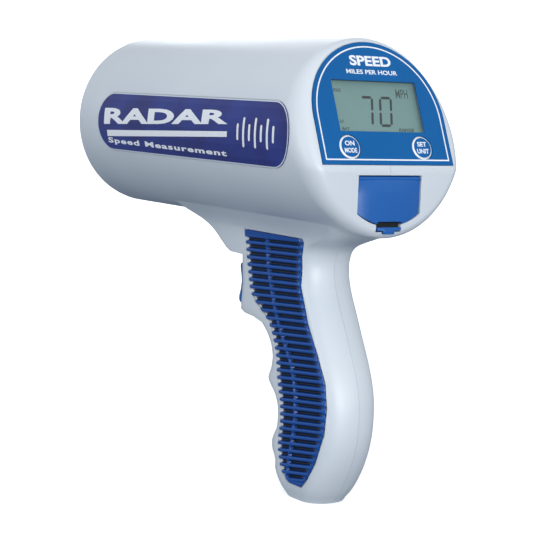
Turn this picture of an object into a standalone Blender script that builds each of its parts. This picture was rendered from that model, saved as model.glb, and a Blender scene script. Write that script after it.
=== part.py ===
"""Handheld speed radar gun: a round barrel with a sloped display panel at the back, and a pistol handle.

+X runs forward along the barrel, +Y is the gun's left side and +Z is up. The origin is the centre of the
flat base of the handle. Lengths below are millimetres; at() turns them into world metres.
"""

import math

import bmesh
import bpy
from mathutils import Matrix, Vector

MM = 0.001

# Driving dimensions: the barrel, and where the handle's base lies under it.
BARREL_R = 41.5
BARREL_LENGTH = 207.5
WALL = 2.5
AXIS_HEIGHT = 161.0  # barrel axis above the handle's base
BASE_CENTRE_X = 44.0  # handle base centre, measured forward from the rear face
SEAM = 0.15  # half of the gap between the two housing halves
GAP = 0.3  # clearance between pieces that touch
BARREL_SIDES = 48

# The rear face bends at KINK_Z: above it the display panel leans forward by PANEL_TILT.
KINK_Z = -12.7
PANEL_TILT = math.radians(22.7)
EDGE_RADIUS = 4.5

# Handle outline, as (height, x), read downwards, and its half-width by height.
BACK_OUTLINE = [(-34, 4), (-43.5, 16), (-45.8, 25), (-47.5, 31.4), (-50, 34.4), (-54.3, 36.6), (-59.7, 36.9),
                (-65, 35.8), (-71.7, 33), (-78.3, 29.4), (-91.4, 22.8), (-97.9, 19.4), (-104.4, 16.6),
                (-111, 14.6), (-116, 13.9), (-121.5, 13.7), (-128.7, 14.2), (-136.2, 15.9), (-144.1, 19.1),
                (-152.5, 24), (-157, 27.2), (-159.6, 29.4), (-161, 31.4)]
FRONT_OUTLINE = [(-34, 156), (-40, 146), (-43.5, 134.2), (-45.8, 128.9), (-48.6, 123.7), (-51.4, 119.8),
                 (-54, 116), (-55.8, 113), (-57, 110), (-57.4, 99), (-71, 97.8), (-82.5, 98.6),
                 (-83.8, 95.6), (-84.6, 88), (-86.4, 80.6), (-90.1, 75.8), (-95.1, 72), (-100.3, 70.4),
                 (-105.8, 71.2), (-109.9, 73.5), (-111.8, 73.2), (-114, 70.6), (-116.4, 67.7), (-121.2, 65),
                 (-126.6, 64.2), (-132.2, 65), (-135.4, 67.2), (-138.5, 68.6), (-142, 68), (-144.6, 66),
                 (-146.6, 64.9), (-150.2, 65.3), (-153.9, 63.4), (-157.4, 61), (-159.6, 58.4), (-161, 56)]
HALF_WIDTH = [(-34, 22), (-40, 16.6), (-43.5, 14.4), (-47.5, 13.3), (-52, 13), (-150, 12.9), (-155, 12.4),
              (-159.6, 11.4), (-161, 10.2)]
BACK_ROUND = 9.0
FRONT_ROUND = 10.0
END_STEPS = 6  # sides round half of each rounded end

# Display panel, in the panel's own plane: u to the viewer's right, v up from the kink, w outwards.
LABEL_HALF_WIDTH = 33.8
LABEL_BOTTOM = 2.3
LABEL_ARC_V = 22.9
LABEL_THICK = 0.6
LABEL_RECESS = 0.7
LCD_WIDTH = 43.8
LCD_HEIGHT = 22.6
LCD_V = 28.05
KEY_U = 18.75
KEY_V = 9.85
KEY_R = 5.1
KEY_FLANGE_R = 5.85
BOARD_W = -10.0

# Battery door, in the plane of the lower rear face: u to the viewer's right, v up from the barrel axis.
DOOR_HALF_WIDTH = 16.0
DOOR_TOP = -15.2
DOOR_SIDE_BOTTOM = -30.6
DOOR_ARC_V = -8.07
DOOR_THICK = 2.2
DOOR_HINGE_X = 1.3
DOOR_HINGE_Z = -16.3
DOOR_HINGE_R = 1.1
LATCH_HALF_WIDTH = 6.2
LATCH_NOTCH_TOP = -34.0
LATCH_NOTCH_BOTTOM = -38.4

CELL_R = 7.2
CELL_LENGTH = 50.5
CELL_Y = 7.6
CELL_Z = -25.0
CELLS_X = 12.2

TRIGGER_HALF_WIDTH = 6.9
TRIGGER_OUTLINE = [(103.6, -62), (103.2, -64.5), (102.2, -68), (101.8, -70.5), (102.2, -74), (103.6, -78),
                   (103.6, -79.8), (102, -81.9), (87, -81.9), (87, -62)]
SPRING_X0 = 70.6
TRIGGER_BACK = 86.7

# Screws come in from the right side. Each is (x, z) in barrel coordinates and the depth of its head.
SCREWS = [(52, 31.5, 16), (140, 31.5, 16), (140, -31.5, 16), (113, -51.5, 8.5), (56, -66, 7.5), (36, -132, 7.5)]
SCREW_R = 1.5
SCREW_HEAD_R = 2.9
SCREW_HEAD_HEIGHT = 2.2
SCREW_END = -8.4
BOSS_R = 3.8
BARREL_BOSS_REACH = 19.5  # half length of a boss in the barrel
GUSSET_BOSS_REACH = 11.2
HANDLE_BOSS_REACH = 10.9

# Side label, wrapped round the barrel's side.
SIDE_LABEL_X = (15.1, 183.8)
SIDE_LABEL_HALF_ANGLE = math.radians(19.6)
SIDE_LABEL_THICK = 0.35

# Grip panel outline (x, z), on each side of the handle, anticlockwise seen from the gun's left.
PANEL_OUTLINE = [(89.6, -45.6), (42.8, -45.2), (41.4, -46.6), (43.6, -53.3), (43.3, -66), (36.6, -81.6),
                 (28.8, -94), (22.6, -105.5), (20.6, -116), (21.4, -127.6), (26.8, -141.5), (35, -153),
                 (48.6, -154), (52.6, -150), (55.6, -142), (56.2, -136), (54.8, -129), (55.6, -119),
                 (58.2, -111), (60.4, -98), (63.8, -90), (68, -84), (79.4, -77.4), (83.6, -73), (87.4, -58)]
PANEL_PROUD = 0.6
PANEL_SEAT = 1.3
PANEL_OUT = 20.0  # past the handle's widest point


def at(x, y, z):
    """World position in metres of a point in barrel coordinates: x from the rear face, z from the axis."""
    return Vector(((x - BASE_CENTRE_X) * MM, y * MM, (z + AXIS_HEIGHT) * MM))


def frame(origin, right, up):
    """Matrix of a local frame with x to the right, y up and z outwards."""
    right = Vector(right).normalized()
    up = Vector(up).normalized()
    out = right.cross(up)
    turn = Matrix((right, up, out)).transposed().to_4x4()
    return Matrix.Translation(at(*origin)) @ turn


PANEL_FRAME = frame((0, 0, KINK_Z), (0, -1, 0), (math.sin(PANEL_TILT), 0, math.cos(PANEL_TILT)))
REAR_FRAME = frame((0, 0, 0), (0, -1, 0), (0, 0, 1))
SIDE_FRAME = frame((0, 0, 0), (1, 0, 0), (0, 0, 1))  # its z points to the gun's right, -Y
FORWARD_FRAME = frame((0, 0, 0), (0, 1, 0), (0, 0, 1))  # its z points forward, +X


# Materials, one for each kind of surface.

def material(name, colour, roughness, metallic=0.0, alpha=1.0):
    made = bpy.data.materials.get(name)
    if made:
        return made
    made = bpy.data.materials.new(name)
    made.use_nodes = True
    shader = made.node_tree.nodes["Principled BSDF"]
    shader.inputs["Base Color"].default_value = (*colour, 1)
    shader.inputs["Roughness"].default_value = roughness
    shader.inputs["Metallic"].default_value = metallic
    shader.inputs["Alpha"].default_value = alpha
    return made


def housing_grey():
    return material("housing_grey", (0.62, 0.68, 0.74), 0.42)


def panel_blue():
    return material("panel_blue", (0.01, 0.14, 0.43), 0.3)


def grip_blue():
    return material("grip_blue", (0.02, 0.10, 0.30), 0.28)


def dark_plastic():
    return material("dark_plastic", (0.03, 0.03, 0.035), 0.5)


def steel():
    return material("steel", (0.62, 0.62, 0.64), 0.3, 1.0)


def circuit_green():
    return material("circuit_green", (0.01, 0.12, 0.05), 0.45)


# Modelling helpers.

def collection(name):
    made = bpy.data.collections.new(name)
    bpy.context.scene.collection.children.link(made)
    return made


def add_object(name, data, where, surface=None):
    obj = bpy.data.objects.new(name, data)
    where.objects.link(obj)
    if surface:
        data.materials.clear()
        data.materials.append(surface)
    return obj


def baked(obj, name, where, surface=None):
    """A plain mesh of an object with its modifiers applied, welded, facing out and in world space."""
    bpy.context.view_layer.update()
    graph = bpy.context.evaluated_depsgraph_get()
    mesh = bpy.data.meshes.new_from_object(obj.evaluated_get(graph))
    mesh.transform(obj.matrix_world)
    bpy.data.objects.remove(obj)
    work = bmesh.new()
    work.from_mesh(mesh)
    bmesh.ops.remove_doubles(work, verts=work.verts, dist=0.00001)
    bmesh.ops.recalc_face_normals(work, faces=work.faces)
    work.to_mesh(mesh)
    work.free()
    return add_object(name, mesh, where, surface)


def set_origin(obj, place):
    """Moves an object's origin to a world place and leaves its shape where it is."""
    obj.data.transform(Matrix.Translation(-place))
    obj.location = place


def smooth(obj, degrees=35):
    obj.data.shade_smooth()
    obj.data.set_sharp_from_angle(angle=math.radians(degrees))


def box(name, low, high, where, surface=None, placing=None):
    """A box between two corners: in barrel coordinates, or in the given local frame in mm."""
    work = bmesh.new()
    bmesh.ops.create_cube(work, size=1.0)
    size = [(b - a) for a, b in zip(low, high)]
    middle = [(a + b) / 2 for a, b in zip(low, high)]
    if placing is None:
        placing = Matrix.Translation(at(0, 0, 0))
    to_mm = Matrix.Diagonal((MM, MM, MM, 1))
    bmesh.ops.transform(work, matrix=Matrix.Diagonal((*size, 1)), verts=work.verts)
    bmesh.ops.transform(work, matrix=Matrix.Translation(middle), verts=work.verts)
    bmesh.ops.transform(work, matrix=placing @ to_mm, verts=work.verts)
    mesh = bpy.data.meshes.new(name)
    work.to_mesh(mesh)
    work.free()
    return add_object(name, mesh, where, surface)


def rod(name, placing, centre, radius, low, high, where, surface=None, sides=32):
    """A cylinder along the local z of a frame, from low to high, in mm."""
    work = bmesh.new()
    bmesh.ops.create_cone(work, cap_ends=True, segments=sides, radius1=radius * MM, radius2=radius * MM,
                          depth=(high - low) * MM)
    move = Matrix.Translation((centre[0] * MM, centre[1] * MM, (low + high) / 2 * MM))
    bmesh.ops.transform(work, matrix=placing @ move, verts=work.verts)
    mesh = bpy.data.meshes.new(name)
    work.to_mesh(mesh)
    work.free()
    return add_object(name, mesh, where, surface)


def plate(name, placing, outlines, low, high, where, surface=None):
    """A flat outline, with any holes, extruded along the local z of a frame from low to high."""
    curve = bpy.data.curves.new(name, "CURVE")
    curve.dimensions = "2D"
    curve.fill_mode = "BOTH"
    curve.extrude = (high - low) / 2 * MM
    for outline in outlines:
        spline = curve.splines.new("POLY")
        spline.points.add(len(outline) - 1)
        for point, (u, v) in zip(spline.points, outline):
            point.co = (u * MM, v * MM, 0, 1)
        spline.use_cyclic_u = True
    obj = add_object(name + "_outline", curve, where)
    obj.matrix_world = placing @ Matrix.Translation((0, 0, (low + high) / 2 * MM))
    return baked(obj, name, where, surface)


def turned(name, placing, profile, where, surface=None, sides=48, axis=(0, 0)):
    """A profile of (radius, height) points, closed by itself or on the axis, turned round the local z."""
    mesh = bpy.data.meshes.new(name)
    points = [(radius * MM, 0, height * MM) for radius, height in profile]
    count = len(points)
    closed_ring = all(radius > 0 for radius, _ in profile)
    edges = [(i, (i + 1) % count) for i in range(count if closed_ring else count - 1)]
    mesh.from_pydata(points, edges, [])
    obj = add_object(name + "_profile", mesh, where)
    obj.matrix_world = placing @ Matrix.Translation((axis[0] * MM, axis[1] * MM, 0))
    screw = obj.modifiers.new("turn", "SCREW")
    screw.axis = "Z"
    screw.steps = sides
    screw.render_steps = sides
    screw.use_merge_vertices = True
    screw.merge_threshold = 0.00001
    return baked(obj, name, where, surface)


def tube(name, points, radius, where, surface):
    """A wire through world points."""
    curve = bpy.data.curves.new(name, "CURVE")
    curve.dimensions = "3D"
    curve.bevel_depth = radius * MM
    curve.bevel_resolution = 2
    curve.use_fill_caps = True
    spline = curve.splines.new("POLY")
    spline.points.add(len(points) - 1)
    for point, place in zip(spline.points, points):
        point.co = (*place, 1)
    return add_object(name, curve, where, surface)


def combine(obj, other, operation):
    """Adds a Boolean modifier; a removed or kept shape becomes a hidden cutter."""
    modifier = obj.modifiers.new(operation.lower() + "_" + other.name, "BOOLEAN")
    modifier.operation = operation
    modifier.solver = "EXACT"
    modifier.object = other
    other.hide_render = True
    other.display_type = "WIRE"


def chamfer(obj, width, angle=40, segments=1):
    bevel = obj.modifiers.new("edge", "BEVEL")
    bevel.width = width * MM
    bevel.segments = segments
    bevel.limit_method = "ANGLE"
    bevel.angle_limit = math.radians(angle)


def between(table, key):
    """Reads a table of (key, value) pairs, sorted downwards, with straight lines between them."""
    if key >= table[0][0]:
        return table[0][1]
    for (k0, v0), (k1, v1) in zip(table, table[1:]):
        if k0 >= key >= k1:
            return v0 + (v1 - v0) * (k0 - key) / (k0 - k1)
    return table[-1][1]


def rounded_rectangle(half_width, half_height, radius, centre=(0, 0), steps=4):
    outline = []
    corners = ((1, 1, 0), (-1, 1, 90), (-1, -1, 180), (1, -1, 270))
    for sx, sy, start in corners:
        for i in range(steps + 1):
            angle = math.radians(start + 90 * i / steps)
            outline.append((centre[0] + sx * (half_width - radius) + radius * math.cos(angle),
                            centre[1] + sy * (half_height - radius) + radius * math.sin(angle)))
    return outline


def circle(radius, centre=(0, 0), sides=32):
    turns = [math.tau * i / sides for i in range(sides)]
    return [(centre[0] + radius * math.cos(a), centre[1] + radius * math.sin(a)) for a in turns]


# Outer and inner shapes of the housing.

def handle_ring(height, inset):
    """One level outline of the handle: straight sides and two half-elliptic ends."""
    back = between(BACK_OUTLINE, height) + inset
    front = between(FRONT_OUTLINE, height) - inset
    half = between(HALF_WIDTH, height) - inset
    back_round, front_round = BACK_ROUND - inset, FRONT_ROUND - inset
    ring = []
    for i in range(END_STEPS + 1):
        turn = math.pi * i / END_STEPS - math.pi / 2
        ring.append((front - front_round + front_round * math.cos(turn), half * math.sin(turn)))
    for i in range(END_STEPS + 1):
        turn = math.pi * i / END_STEPS + math.pi / 2
        ring.append((back + back_round + back_round * math.cos(turn), half * math.sin(turn)))
    return [at(x, y, height) for x, y in ring]


def handle_solid(name, inset, top, bottom, where):
    """The handle as a loft through its level outlines, moved in by inset all round."""
    heights = sorted({h for h, _ in BACK_OUTLINE + FRONT_OUTLINE + HALF_WIDTH if bottom < h < top}
                     | {top, bottom})
    work = bmesh.new()
    rings = [[work.verts.new(place) for place in handle_ring(height, inset)] for height in heights]
    for lower, upper in zip(rings, rings[1:]):
        for i in range(len(lower)):
            j = (i + 1) % len(lower)
            work.faces.new((lower[i], lower[j], upper[j], upper[i]))
    work.faces.new(rings[0][::-1])
    work.faces.new(rings[-1])
    bmesh.ops.recalc_face_normals(work, faces=work.faces)
    mesh = bpy.data.meshes.new(name)
    work.to_mesh(mesh)
    work.free()
    return add_object(name, mesh, where)


def behind_rear_face(name, depth, where):
    """Everything behind the bent rear face, moved forward by depth: a cutter."""
    lean = math.tan(PANEL_TILT)
    shift = depth / math.cos(PANEL_TILT)
    top = 60.0
    kink = KINK_Z + (depth - shift) / lean
    outline = [(depth, -60.0), (-30.0, -60.0), (-30.0, top), (shift + (top - KINK_Z) * lean, top), (depth, kink)]
    return plate(name, SIDE_FRAME, [outline], -60.0, 60.0, where)


def barrel_outer(where):
    """The barrel with its sloped back, and both ends rounded over."""
    blank = rod("barrel_blank", FORWARD_FRAME, (0, 0), BARREL_R, -5.0, BARREL_LENGTH, where, sides=BARREL_SIDES)
    combine(blank, behind_rear_face("rear_cut", 0.0, where), "DIFFERENCE")
    chamfer(blank, EDGE_RADIUS, 45, 3)
    return baked(blank, "barrel_outer", where)


def barrel_inner(where):
    blank = rod("barrel_hollow_blank", FORWARD_FRAME, (0, 0), BARREL_R - WALL, -5.0, 201.0, where, sides=48)
    combine(blank, behind_rear_face("hollow_rear_cut", WALL, where), "DIFFERENCE")
    return baked(blank, "barrel_inner", where)


def label_outline(inset=0.0):
    """The display label: a half-round top on straight sides."""
    half = LABEL_HALF_WIDTH - inset
    turns = [math.radians(180 * i / 28) for i in range(29)]
    arc = [(half * math.cos(a), LABEL_ARC_V + half * math.sin(a)) for a in turns]
    return arc + [(-half, LABEL_BOTTOM + inset), (half, LABEL_BOTTOM + inset)]


def door_outline(grow=0.0):
    """The battery door: square top, straight sides and an arched bottom."""
    half = DOOR_HALF_WIDTH + grow
    radius = math.hypot(DOOR_HALF_WIDTH, DOOR_SIDE_BOTTOM - DOOR_ARC_V) + grow
    end = math.asin(half / radius)
    turns = [end - 2 * end * i / 14 for i in range(15)]
    arch = [(radius * math.sin(a), DOOR_ARC_V - radius * math.cos(a)) for a in turns]
    return [(-half, DOOR_TOP + grow), (half, DOOR_TOP + grow)] + arch


def panel_prism(name, grow, side, where):
    """The grip panel's outline, grown, through one side of the handle. side is +1 for left, -1 for right."""
    count = len(PANEL_OUTLINE)
    outline = []
    for i, (x, z) in enumerate(PANEL_OUTLINE):
        before = Vector(PANEL_OUTLINE[i - 1])
        after = Vector(PANEL_OUTLINE[(i + 1) % count])
        along = (after - before).normalized()
        outline.append((x + along.y * grow, z - along.x * grow))
    low, high = (-PANEL_OUT, -4.0) if side > 0 else (4.0, PANEL_OUT)
    return plate(name, SIDE_FRAME, [outline], low, high, where)


def side_label_prism(name, grow, side, where):
    half_length = (SIDE_LABEL_X[1] - SIDE_LABEL_X[0]) / 2 + grow
    middle = sum(SIDE_LABEL_X) / 2
    half_height = BARREL_R * math.sin(SIDE_LABEL_HALF_ANGLE) + grow
    outline = rounded_rectangle(half_length, half_height, half_height - 0.6, (middle, 0), steps=7)
    low, high = (-50.0, -20.0) if side > 0 else (20.0, 50.0)
    return plate(name, SIDE_FRAME, [outline], low, high, where)


def barrel_ring(name, inner, outer, where):
    profile = [(inner, SIDE_LABEL_X[0] - 5), (outer, SIDE_LABEL_X[0] - 5),
               (outer, SIDE_LABEL_X[1] + 5), (inner, SIDE_LABEL_X[1] + 5)]
    return turned(name, FORWARD_FRAME, profile, where, sides=BARREL_SIDES)


def housing_cutters(where):
    """Every opening and recess that the closed housing has."""
    recess = GAP + SIDE_LABEL_THICK - 0.2
    cutters = [
        barrel_inner(where),
        rod("front_opening", FORWARD_FRAME, (0, 0), BARREL_R - 5.0, 195, 215, where, sides=48),
        handle_solid("handle_hollow", WALL, -35.0, -158.0, where),
        plate("label_recess", PANEL_FRAME, [label_outline(-GAP)], -LABEL_RECESS, 8, where),
        plate("window_opening", PANEL_FRAME, [rounded_rectangle(23.4, 12.3, 1, (0, LCD_V))], -6, 5, where),
        plate("door_opening", REAR_FRAME, [door_outline(0.35)], -12, 5, where),
        box("latch_notch", (-LATCH_HALF_WIDTH - 0.2, LATCH_NOTCH_BOTTOM, -7.2),
            (LATCH_HALF_WIDTH + 0.2, LATCH_NOTCH_TOP + 1, 5), where, placing=REAR_FRAME),
        box("latch_catch", (-3.2, -39.7, -1.2), (3.2, -38, 5), where, placing=REAR_FRAME),
        box("trigger_slot", (84, -TRIGGER_HALF_WIDTH - GAP, -82.3), (101.4, TRIGGER_HALF_WIDTH + GAP, -55), where),
    ]
    for side, word in ((-1, "left"), (1, "right")):
        name = f"{word}_key_hole"
        cutters.append(rod(name, PANEL_FRAME, (side * KEY_U, KEY_V), KEY_R + GAP, -6, 5, where, sides=32))
        hole = rod(f"{word}_hinge_hole", SIDE_FRAME, (DOOR_HINGE_X, DOOR_HINGE_Z), 1.0,
                   *sorted((side * 15.0, side * 18.6)), where, sides=16)
        cutters.append(hole)
        prism = panel_prism(f"{word}_panel_seat", GAP, -side, where)
        combine(prism, handle_solid(f"{word}_panel_floor", PANEL_SEAT, -38.0, -160.0, where), "DIFFERENCE")
        cutters.append(baked(prism, f"{word}_panel_recess", where))
        prism = side_label_prism(f"{word}_label_seat", GAP, -side, where)
        combine(prism, barrel_ring(f"{word}_label_floor", BARREL_R - recess, BARREL_R + 6, where), "INTERSECT")
        cutters.append(baked(prism, f"{word}_side_label_recess", where))
    for number, (x, z, head) in enumerate(SCREWS, 1):
        cutters.append(rod(f"head_hole_{number}", SIDE_FRAME, (x, z), SCREW_HEAD_R + GAP, head, 45, where, sides=24))
        cutters.append(rod(f"shank_hole_{number}", SIDE_FRAME, (x, z), SCREW_R + 0.2, -9, head + 1, where, sides=16))
    return cutters


def housing_additions(where):
    """Screw bosses and the wall that the trigger spring pushes on."""
    added = []
    for number, (x, z, _) in enumerate(SCREWS, 1):
        if z > -40:
            reach = BARREL_BOSS_REACH
        elif z > -60:
            reach = GUSSET_BOSS_REACH
        else:
            reach = HANDLE_BOSS_REACH
        added.append(rod(f"boss_{number}", SIDE_FRAME, (x, z), BOSS_R, -reach, reach, where, sides=20))
    added.append(box("spring_wall", (66, -10.9, -83), (SPRING_X0 - GAP, 10.9, -70.6), where))
    return added


def housing(parts, cutters):
    """Both halves of the clamshell, each one solid: the barrel's tube, the rear face and the handle."""
    whole = barrel_outer(cutters)
    combine(whole, handle_solid("handle_outer", 0.0, -36.0, -161.0, cutters), "UNION")
    holes = housing_cutters(cutters)
    for hole in holes[:3]:
        combine(whole, hole, "DIFFERENCE")
    for addition in housing_additions(cutters):
        combine(whole, addition, "UNION")
    for hole in holes[3:]:
        combine(whole, hole, "DIFFERENCE")
    whole = baked(whole, "housing_whole", cutters)
    whole.hide_render = True
    for side, word in ((1, "left"), (-1, "right")):
        half = add_object(f"housing_{word}", whole.data.copy(), parts, housing_grey())
        low, high = (-60, SEAM) if side > 0 else (-SEAM, 60)
        cut = box(f"other_side_of_{word}", (-60, low, -220), (260, high, 80), cutters)
        combine(half, cut, "DIFFERENCE")
        solid = baked(half, f"housing_{word}", parts, housing_grey())
        smooth(solid)


# Pieces at the front: cover, horn and microwave module.

def front_cover(parts):
    """Flat radome, snapped behind the barrel's front lip."""
    lip = BARREL_R - 5.0
    profile = [(0, 205.4), (lip - 1.5, 205.4), (lip - 0.4, 204.6), (lip - 0.4, 200.6), (BARREL_R - 2.9, 200.6),
               (BARREL_R - 2.9, 198.2), (lip - 3, 198.2), (lip - 3, 202.6), (0, 202.6)]
    smooth(turned("front_cover", FORWARD_FRAME, profile, parts, housing_grey()))


def horn_antenna(parts):
    outer = [(11, 118.6), (11, 120.4), (9.2, 120.4), (9.2, 124), (36.6, 189), (38.6, 189), (38.6, 190.4)]
    inner = [(35.6, 190.4), (7.8, 124.4), (7.8, 118.6)]
    smooth(turned("horn_antenna", FORWARD_FRAME, outer + inner, parts, steel()))


def microwave_module(parts):
    module = box("microwave_module", (96, -11, -11), (118.2, 11, 11), parts,
                 material("cast_alloy", (0.5, 0.5, 0.52), 0.45, 1.0))
    chamfer(module, 0.8)


# Pieces behind the sloped panel, from the outside in.

def display_label(parts):
    holes = [rounded_rectangle(LCD_WIDTH / 2, LCD_HEIGHT / 2, 0.5, (0, LCD_V))]
    holes += [circle(KEY_R + GAP, (side * KEY_U, KEY_V)) for side in (-1, 1)]
    low = GAP - LABEL_RECESS
    plate("display_label", PANEL_FRAME, [label_outline()] + holes, low, low + LABEL_THICK, parts, panel_blue())


def lcd_window(parts):
    clear = material("clear_acrylic", (0.9, 0.93, 0.92), 0.05, 0.0, 0.3)
    outline = rounded_rectangle(23.1, 12.0, 1, (0, LCD_V))
    plate("lcd_window", PANEL_FRAME, [outline], -1.9, -0.7, parts, clear)


def lcd_panel(parts):
    glass = material("lcd_grey", (0.18, 0.31, 0.28), 0.25)
    outline = rounded_rectangle(23.0, 11.9, 0.3, (0, LCD_V))
    plate("lcd_panel", PANEL_FRAME, [outline], -4.6, -2.2, parts, glass)


def lcd_holder(parts):
    frame_out = rounded_rectangle(25, 14.6, 1.5, (0, LCD_V))
    frame_in = rounded_rectangle(22, 12.6, 0.5, (0, LCD_V))
    plate("lcd_holder", PANEL_FRAME, [frame_out, frame_in], BOARD_W + GAP, -4.9, parts, dark_plastic())


def zebra_strips(parts):
    pink = material("zebra_rubber", (0.55, 0.20, 0.25), 0.6)
    for word, v in (("lower", LCD_V - 10.6), ("upper", LCD_V + 10.6)):
        box(f"zebra_strip_{word}", (-21, v - 1.2, BOARD_W + GAP), (21, v + 1.2, -4.9), parts, pink,
            placing=PANEL_FRAME)


def display_board(parts):
    outline = rounded_rectangle(29, 20.6, 3, (0, 24.6))
    plate("display_board", PANEL_FRAME, [outline], BOARD_W - 1.6, BOARD_W, parts, circuit_green())


def key(word, side, parts, cutters):
    """A round key with a retaining flange and a stem, and the push switch that it works."""
    centre = (side * KEY_U, KEY_V)
    profile = [(0, 0.35), (KEY_R - 0.6, 0.35), (KEY_R, -0.1), (KEY_R, -3.1), (KEY_FLANGE_R, -3.1),
               (KEY_FLANGE_R, -4.0), (2.0, -4.0), (2.0, -5.3), (0, -5.3)]
    cap = turned(f"{word}_key", PANEL_FRAME, profile, parts, panel_blue(), sides=32, axis=centre)
    smooth(cap)
    plunger = rod(f"{word}_switch_plunger", PANEL_FRAME, centre, 1.6, -7.2, -5.6, parts, dark_plastic(), sides=20)
    body = box(f"{word}_switch", (centre[0] - 3, centre[1] - 3, BOARD_W + GAP), (centre[0] + 3, centre[1] + 3, -6.3),
               parts, steel(), placing=PANEL_FRAME)
    well = rod(f"{word}_switch_well", PANEL_FRAME, centre, 1.9, -8.1, -5, cutters, sides=20)
    combine(body, well, "DIFFERENCE")
    origin = PANEL_FRAME @ Vector((centre[0] * MM, centre[1] * MM, 0))
    for obj in (cap, plunger):
        set_origin(obj, origin)


# The battery compartment.

def battery_door(parts, cutters):
    """Door plate with its hinge barrel and two stub pins along its top edge."""
    door = plate("battery_door", REAR_FRAME, [door_outline()], -0.2 - DOOR_THICK, -0.2, parts, grip_blue())
    top = box("door_top_cut", (-20, DOOR_HINGE_Z, -9), (20, 0, 9), cutters, placing=REAR_FRAME)
    notch = box("door_latch_cut", (-LATCH_HALF_WIDTH, -60, -9), (LATCH_HALF_WIDTH, LATCH_NOTCH_TOP, 9), cutters,
                placing=REAR_FRAME)
    combine(door, top, "DIFFERENCE")
    combine(door, notch, "DIFFERENCE")
    hinge = (DOOR_HINGE_X, DOOR_HINGE_Z)
    barrel = rod("door_hinge_barrel", SIDE_FRAME, hinge, DOOR_HINGE_R, -DOOR_HALF_WIDTH, DOOR_HALF_WIDTH, cutters,
                 sides=24)
    pins = rod("door_hinge_pins", SIDE_FRAME, hinge, 0.8, -18.2, 18.2, cutters, sides=16)
    combine(door, barrel, "UNION")
    combine(door, pins, "UNION")
    door = baked(door, "battery_door", parts, grip_blue())
    set_origin(door, at(DOOR_HINGE_X, 0, DOOR_HINGE_Z))


def door_latch(parts, cutters):
    """Springy U-shaped tongue below the door, with a thumb bar and a small catch."""
    tongue = [(2.7, -32.9), (4.4, -32.9), (5.6, -34.1), (5.6, -36.0), (4.6, -37.2), (2.6, -37.8), (-0.5, -37.8),
              (-0.5, -36.3), (2.4, -36.3), (3.8, -35.9), (4.4, -35.3), (4.4, -34.8), (3.9, -34.3), (2.7, -34.3)]
    latch = plate("door_latch", SIDE_FRAME, [tongue], -LATCH_HALF_WIDTH + 0.4, LATCH_HALF_WIDTH - 0.4, parts,
                  grip_blue())
    catch = box("latch_catch_tab", (-0.8, -2.8, -39.3), (0.6, 2.8, -37.2), cutters)
    combine(latch, catch, "UNION")
    latch = baked(latch, "door_latch", parts, grip_blue())
    set_origin(latch, at(5.0, 0, -35.0))


def battery_tray(parts, cutters):
    end = CELLS_X + 2 * CELL_LENGTH + 3.6
    tray = box("battery_tray", (CELLS_X - 0.4, -16.1, -33.6), (end, 16.1, -19.5), parts, dark_plastic())
    inside = box("tray_inside", (CELLS_X - 9, -15.2, -32.5), (end - 1.2, 15.2, -10), cutters)
    combine(tray, inside, "DIFFERENCE")
    rib = box("tray_rib", (CELLS_X + 3, -0.25, -33), (end - 2, 0.25, -26), cutters)
    combine(tray, rib, "UNION")


def cells(parts):
    """Four AA cells: two side by side, and two behind them."""
    wrap = material("cell_wrap", (0.55, 0.36, 0.08), 0.35)
    for number in range(4):
        side = 1 if number % 2 else -1
        start = CELLS_X + (number // 2) * (CELL_LENGTH + GAP)
        low, high = start, start + CELL_LENGTH
        body = [(0, low), (CELL_R, low), (CELL_R, high - 1.4), (2.7, high - 1.4), (2.7, high), (0, high)]
        cell = turned(f"cell_{number + 1}", FORWARD_FRAME, body, parts, wrap, sides=24, axis=(side * CELL_Y, CELL_Z))
        smooth(cell)


def helix(start, length, radius, turns, placing, steps=10):
    count = int(turns * steps)
    points = []
    for i in range(count + 1):
        angle = math.tau * i / steps
        along = start + length * i / count
        points.append(placing @ Vector((radius * math.cos(angle) * MM, radius * math.sin(angle) * MM, along * MM)))
    return points


def battery_contacts(parts, cutters):
    """Coil springs at the tray's front end, and the bridge plate inside the door."""
    for word, side in (("left", 1), ("right", -1)):
        placing = frame((0, side * CELL_Y, CELL_Z), (0, 1, 0), (0, 0, 1))
        points = helix(CELLS_X + 2 * CELL_LENGTH + 0.95, 1.1, 3.2, 2.2, placing)
        tube(f"contact_spring_{word}", points, 0.25, parts, steel())
    plate_low, plate_high = DOOR_THICK + 0.5, DOOR_THICK + 1.1
    bridge = box("door_contact", (plate_low, -12, -29.5), (plate_high, 12, -20), parts, steel())
    for word, side in (("left", 1), ("right", -1)):
        bump = rod(f"{word}_contact_bump", FORWARD_FRAME, (side * CELL_Y, CELL_Z), 2.6, plate_low + 0.2,
                   CELLS_X - 0.4, cutters, sides=20)
        combine(bridge, bump, "UNION")
    bridge = baked(bridge, "door_contact", parts, steel())
    set_origin(bridge, at(DOOR_HINGE_X, 0, DOOR_HINGE_Z))


# The trigger group.

def trigger(parts, cutters):
    """Sliding trigger with a wide flange that stops it behind the slot."""
    body = plate("trigger", SIDE_FRAME, [TRIGGER_OUTLINE], -TRIGGER_HALF_WIDTH, TRIGGER_HALF_WIDTH, parts,
                 grip_blue())
    chamfer(body, 1.6, 50, 2)
    flange = box("trigger_flange", (TRIGGER_BACK, -8.4, -83.3), (88.8, 8.4, -59), cutters)
    combine(body, flange, "UNION")
    body = baked(body, "trigger", parts, grip_blue())
    set_origin(body, at(TRIGGER_BACK, 0, -76))
    placing = frame((0, 0, -76.5), (0, 1, 0), (0, 0, 1))
    points = helix(SPRING_X0 + 0.35, TRIGGER_BACK - SPRING_X0 - 1.0, 3.2, 5, placing, steps=9)
    tube("trigger_spring", points, 0.35, parts, steel())


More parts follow.
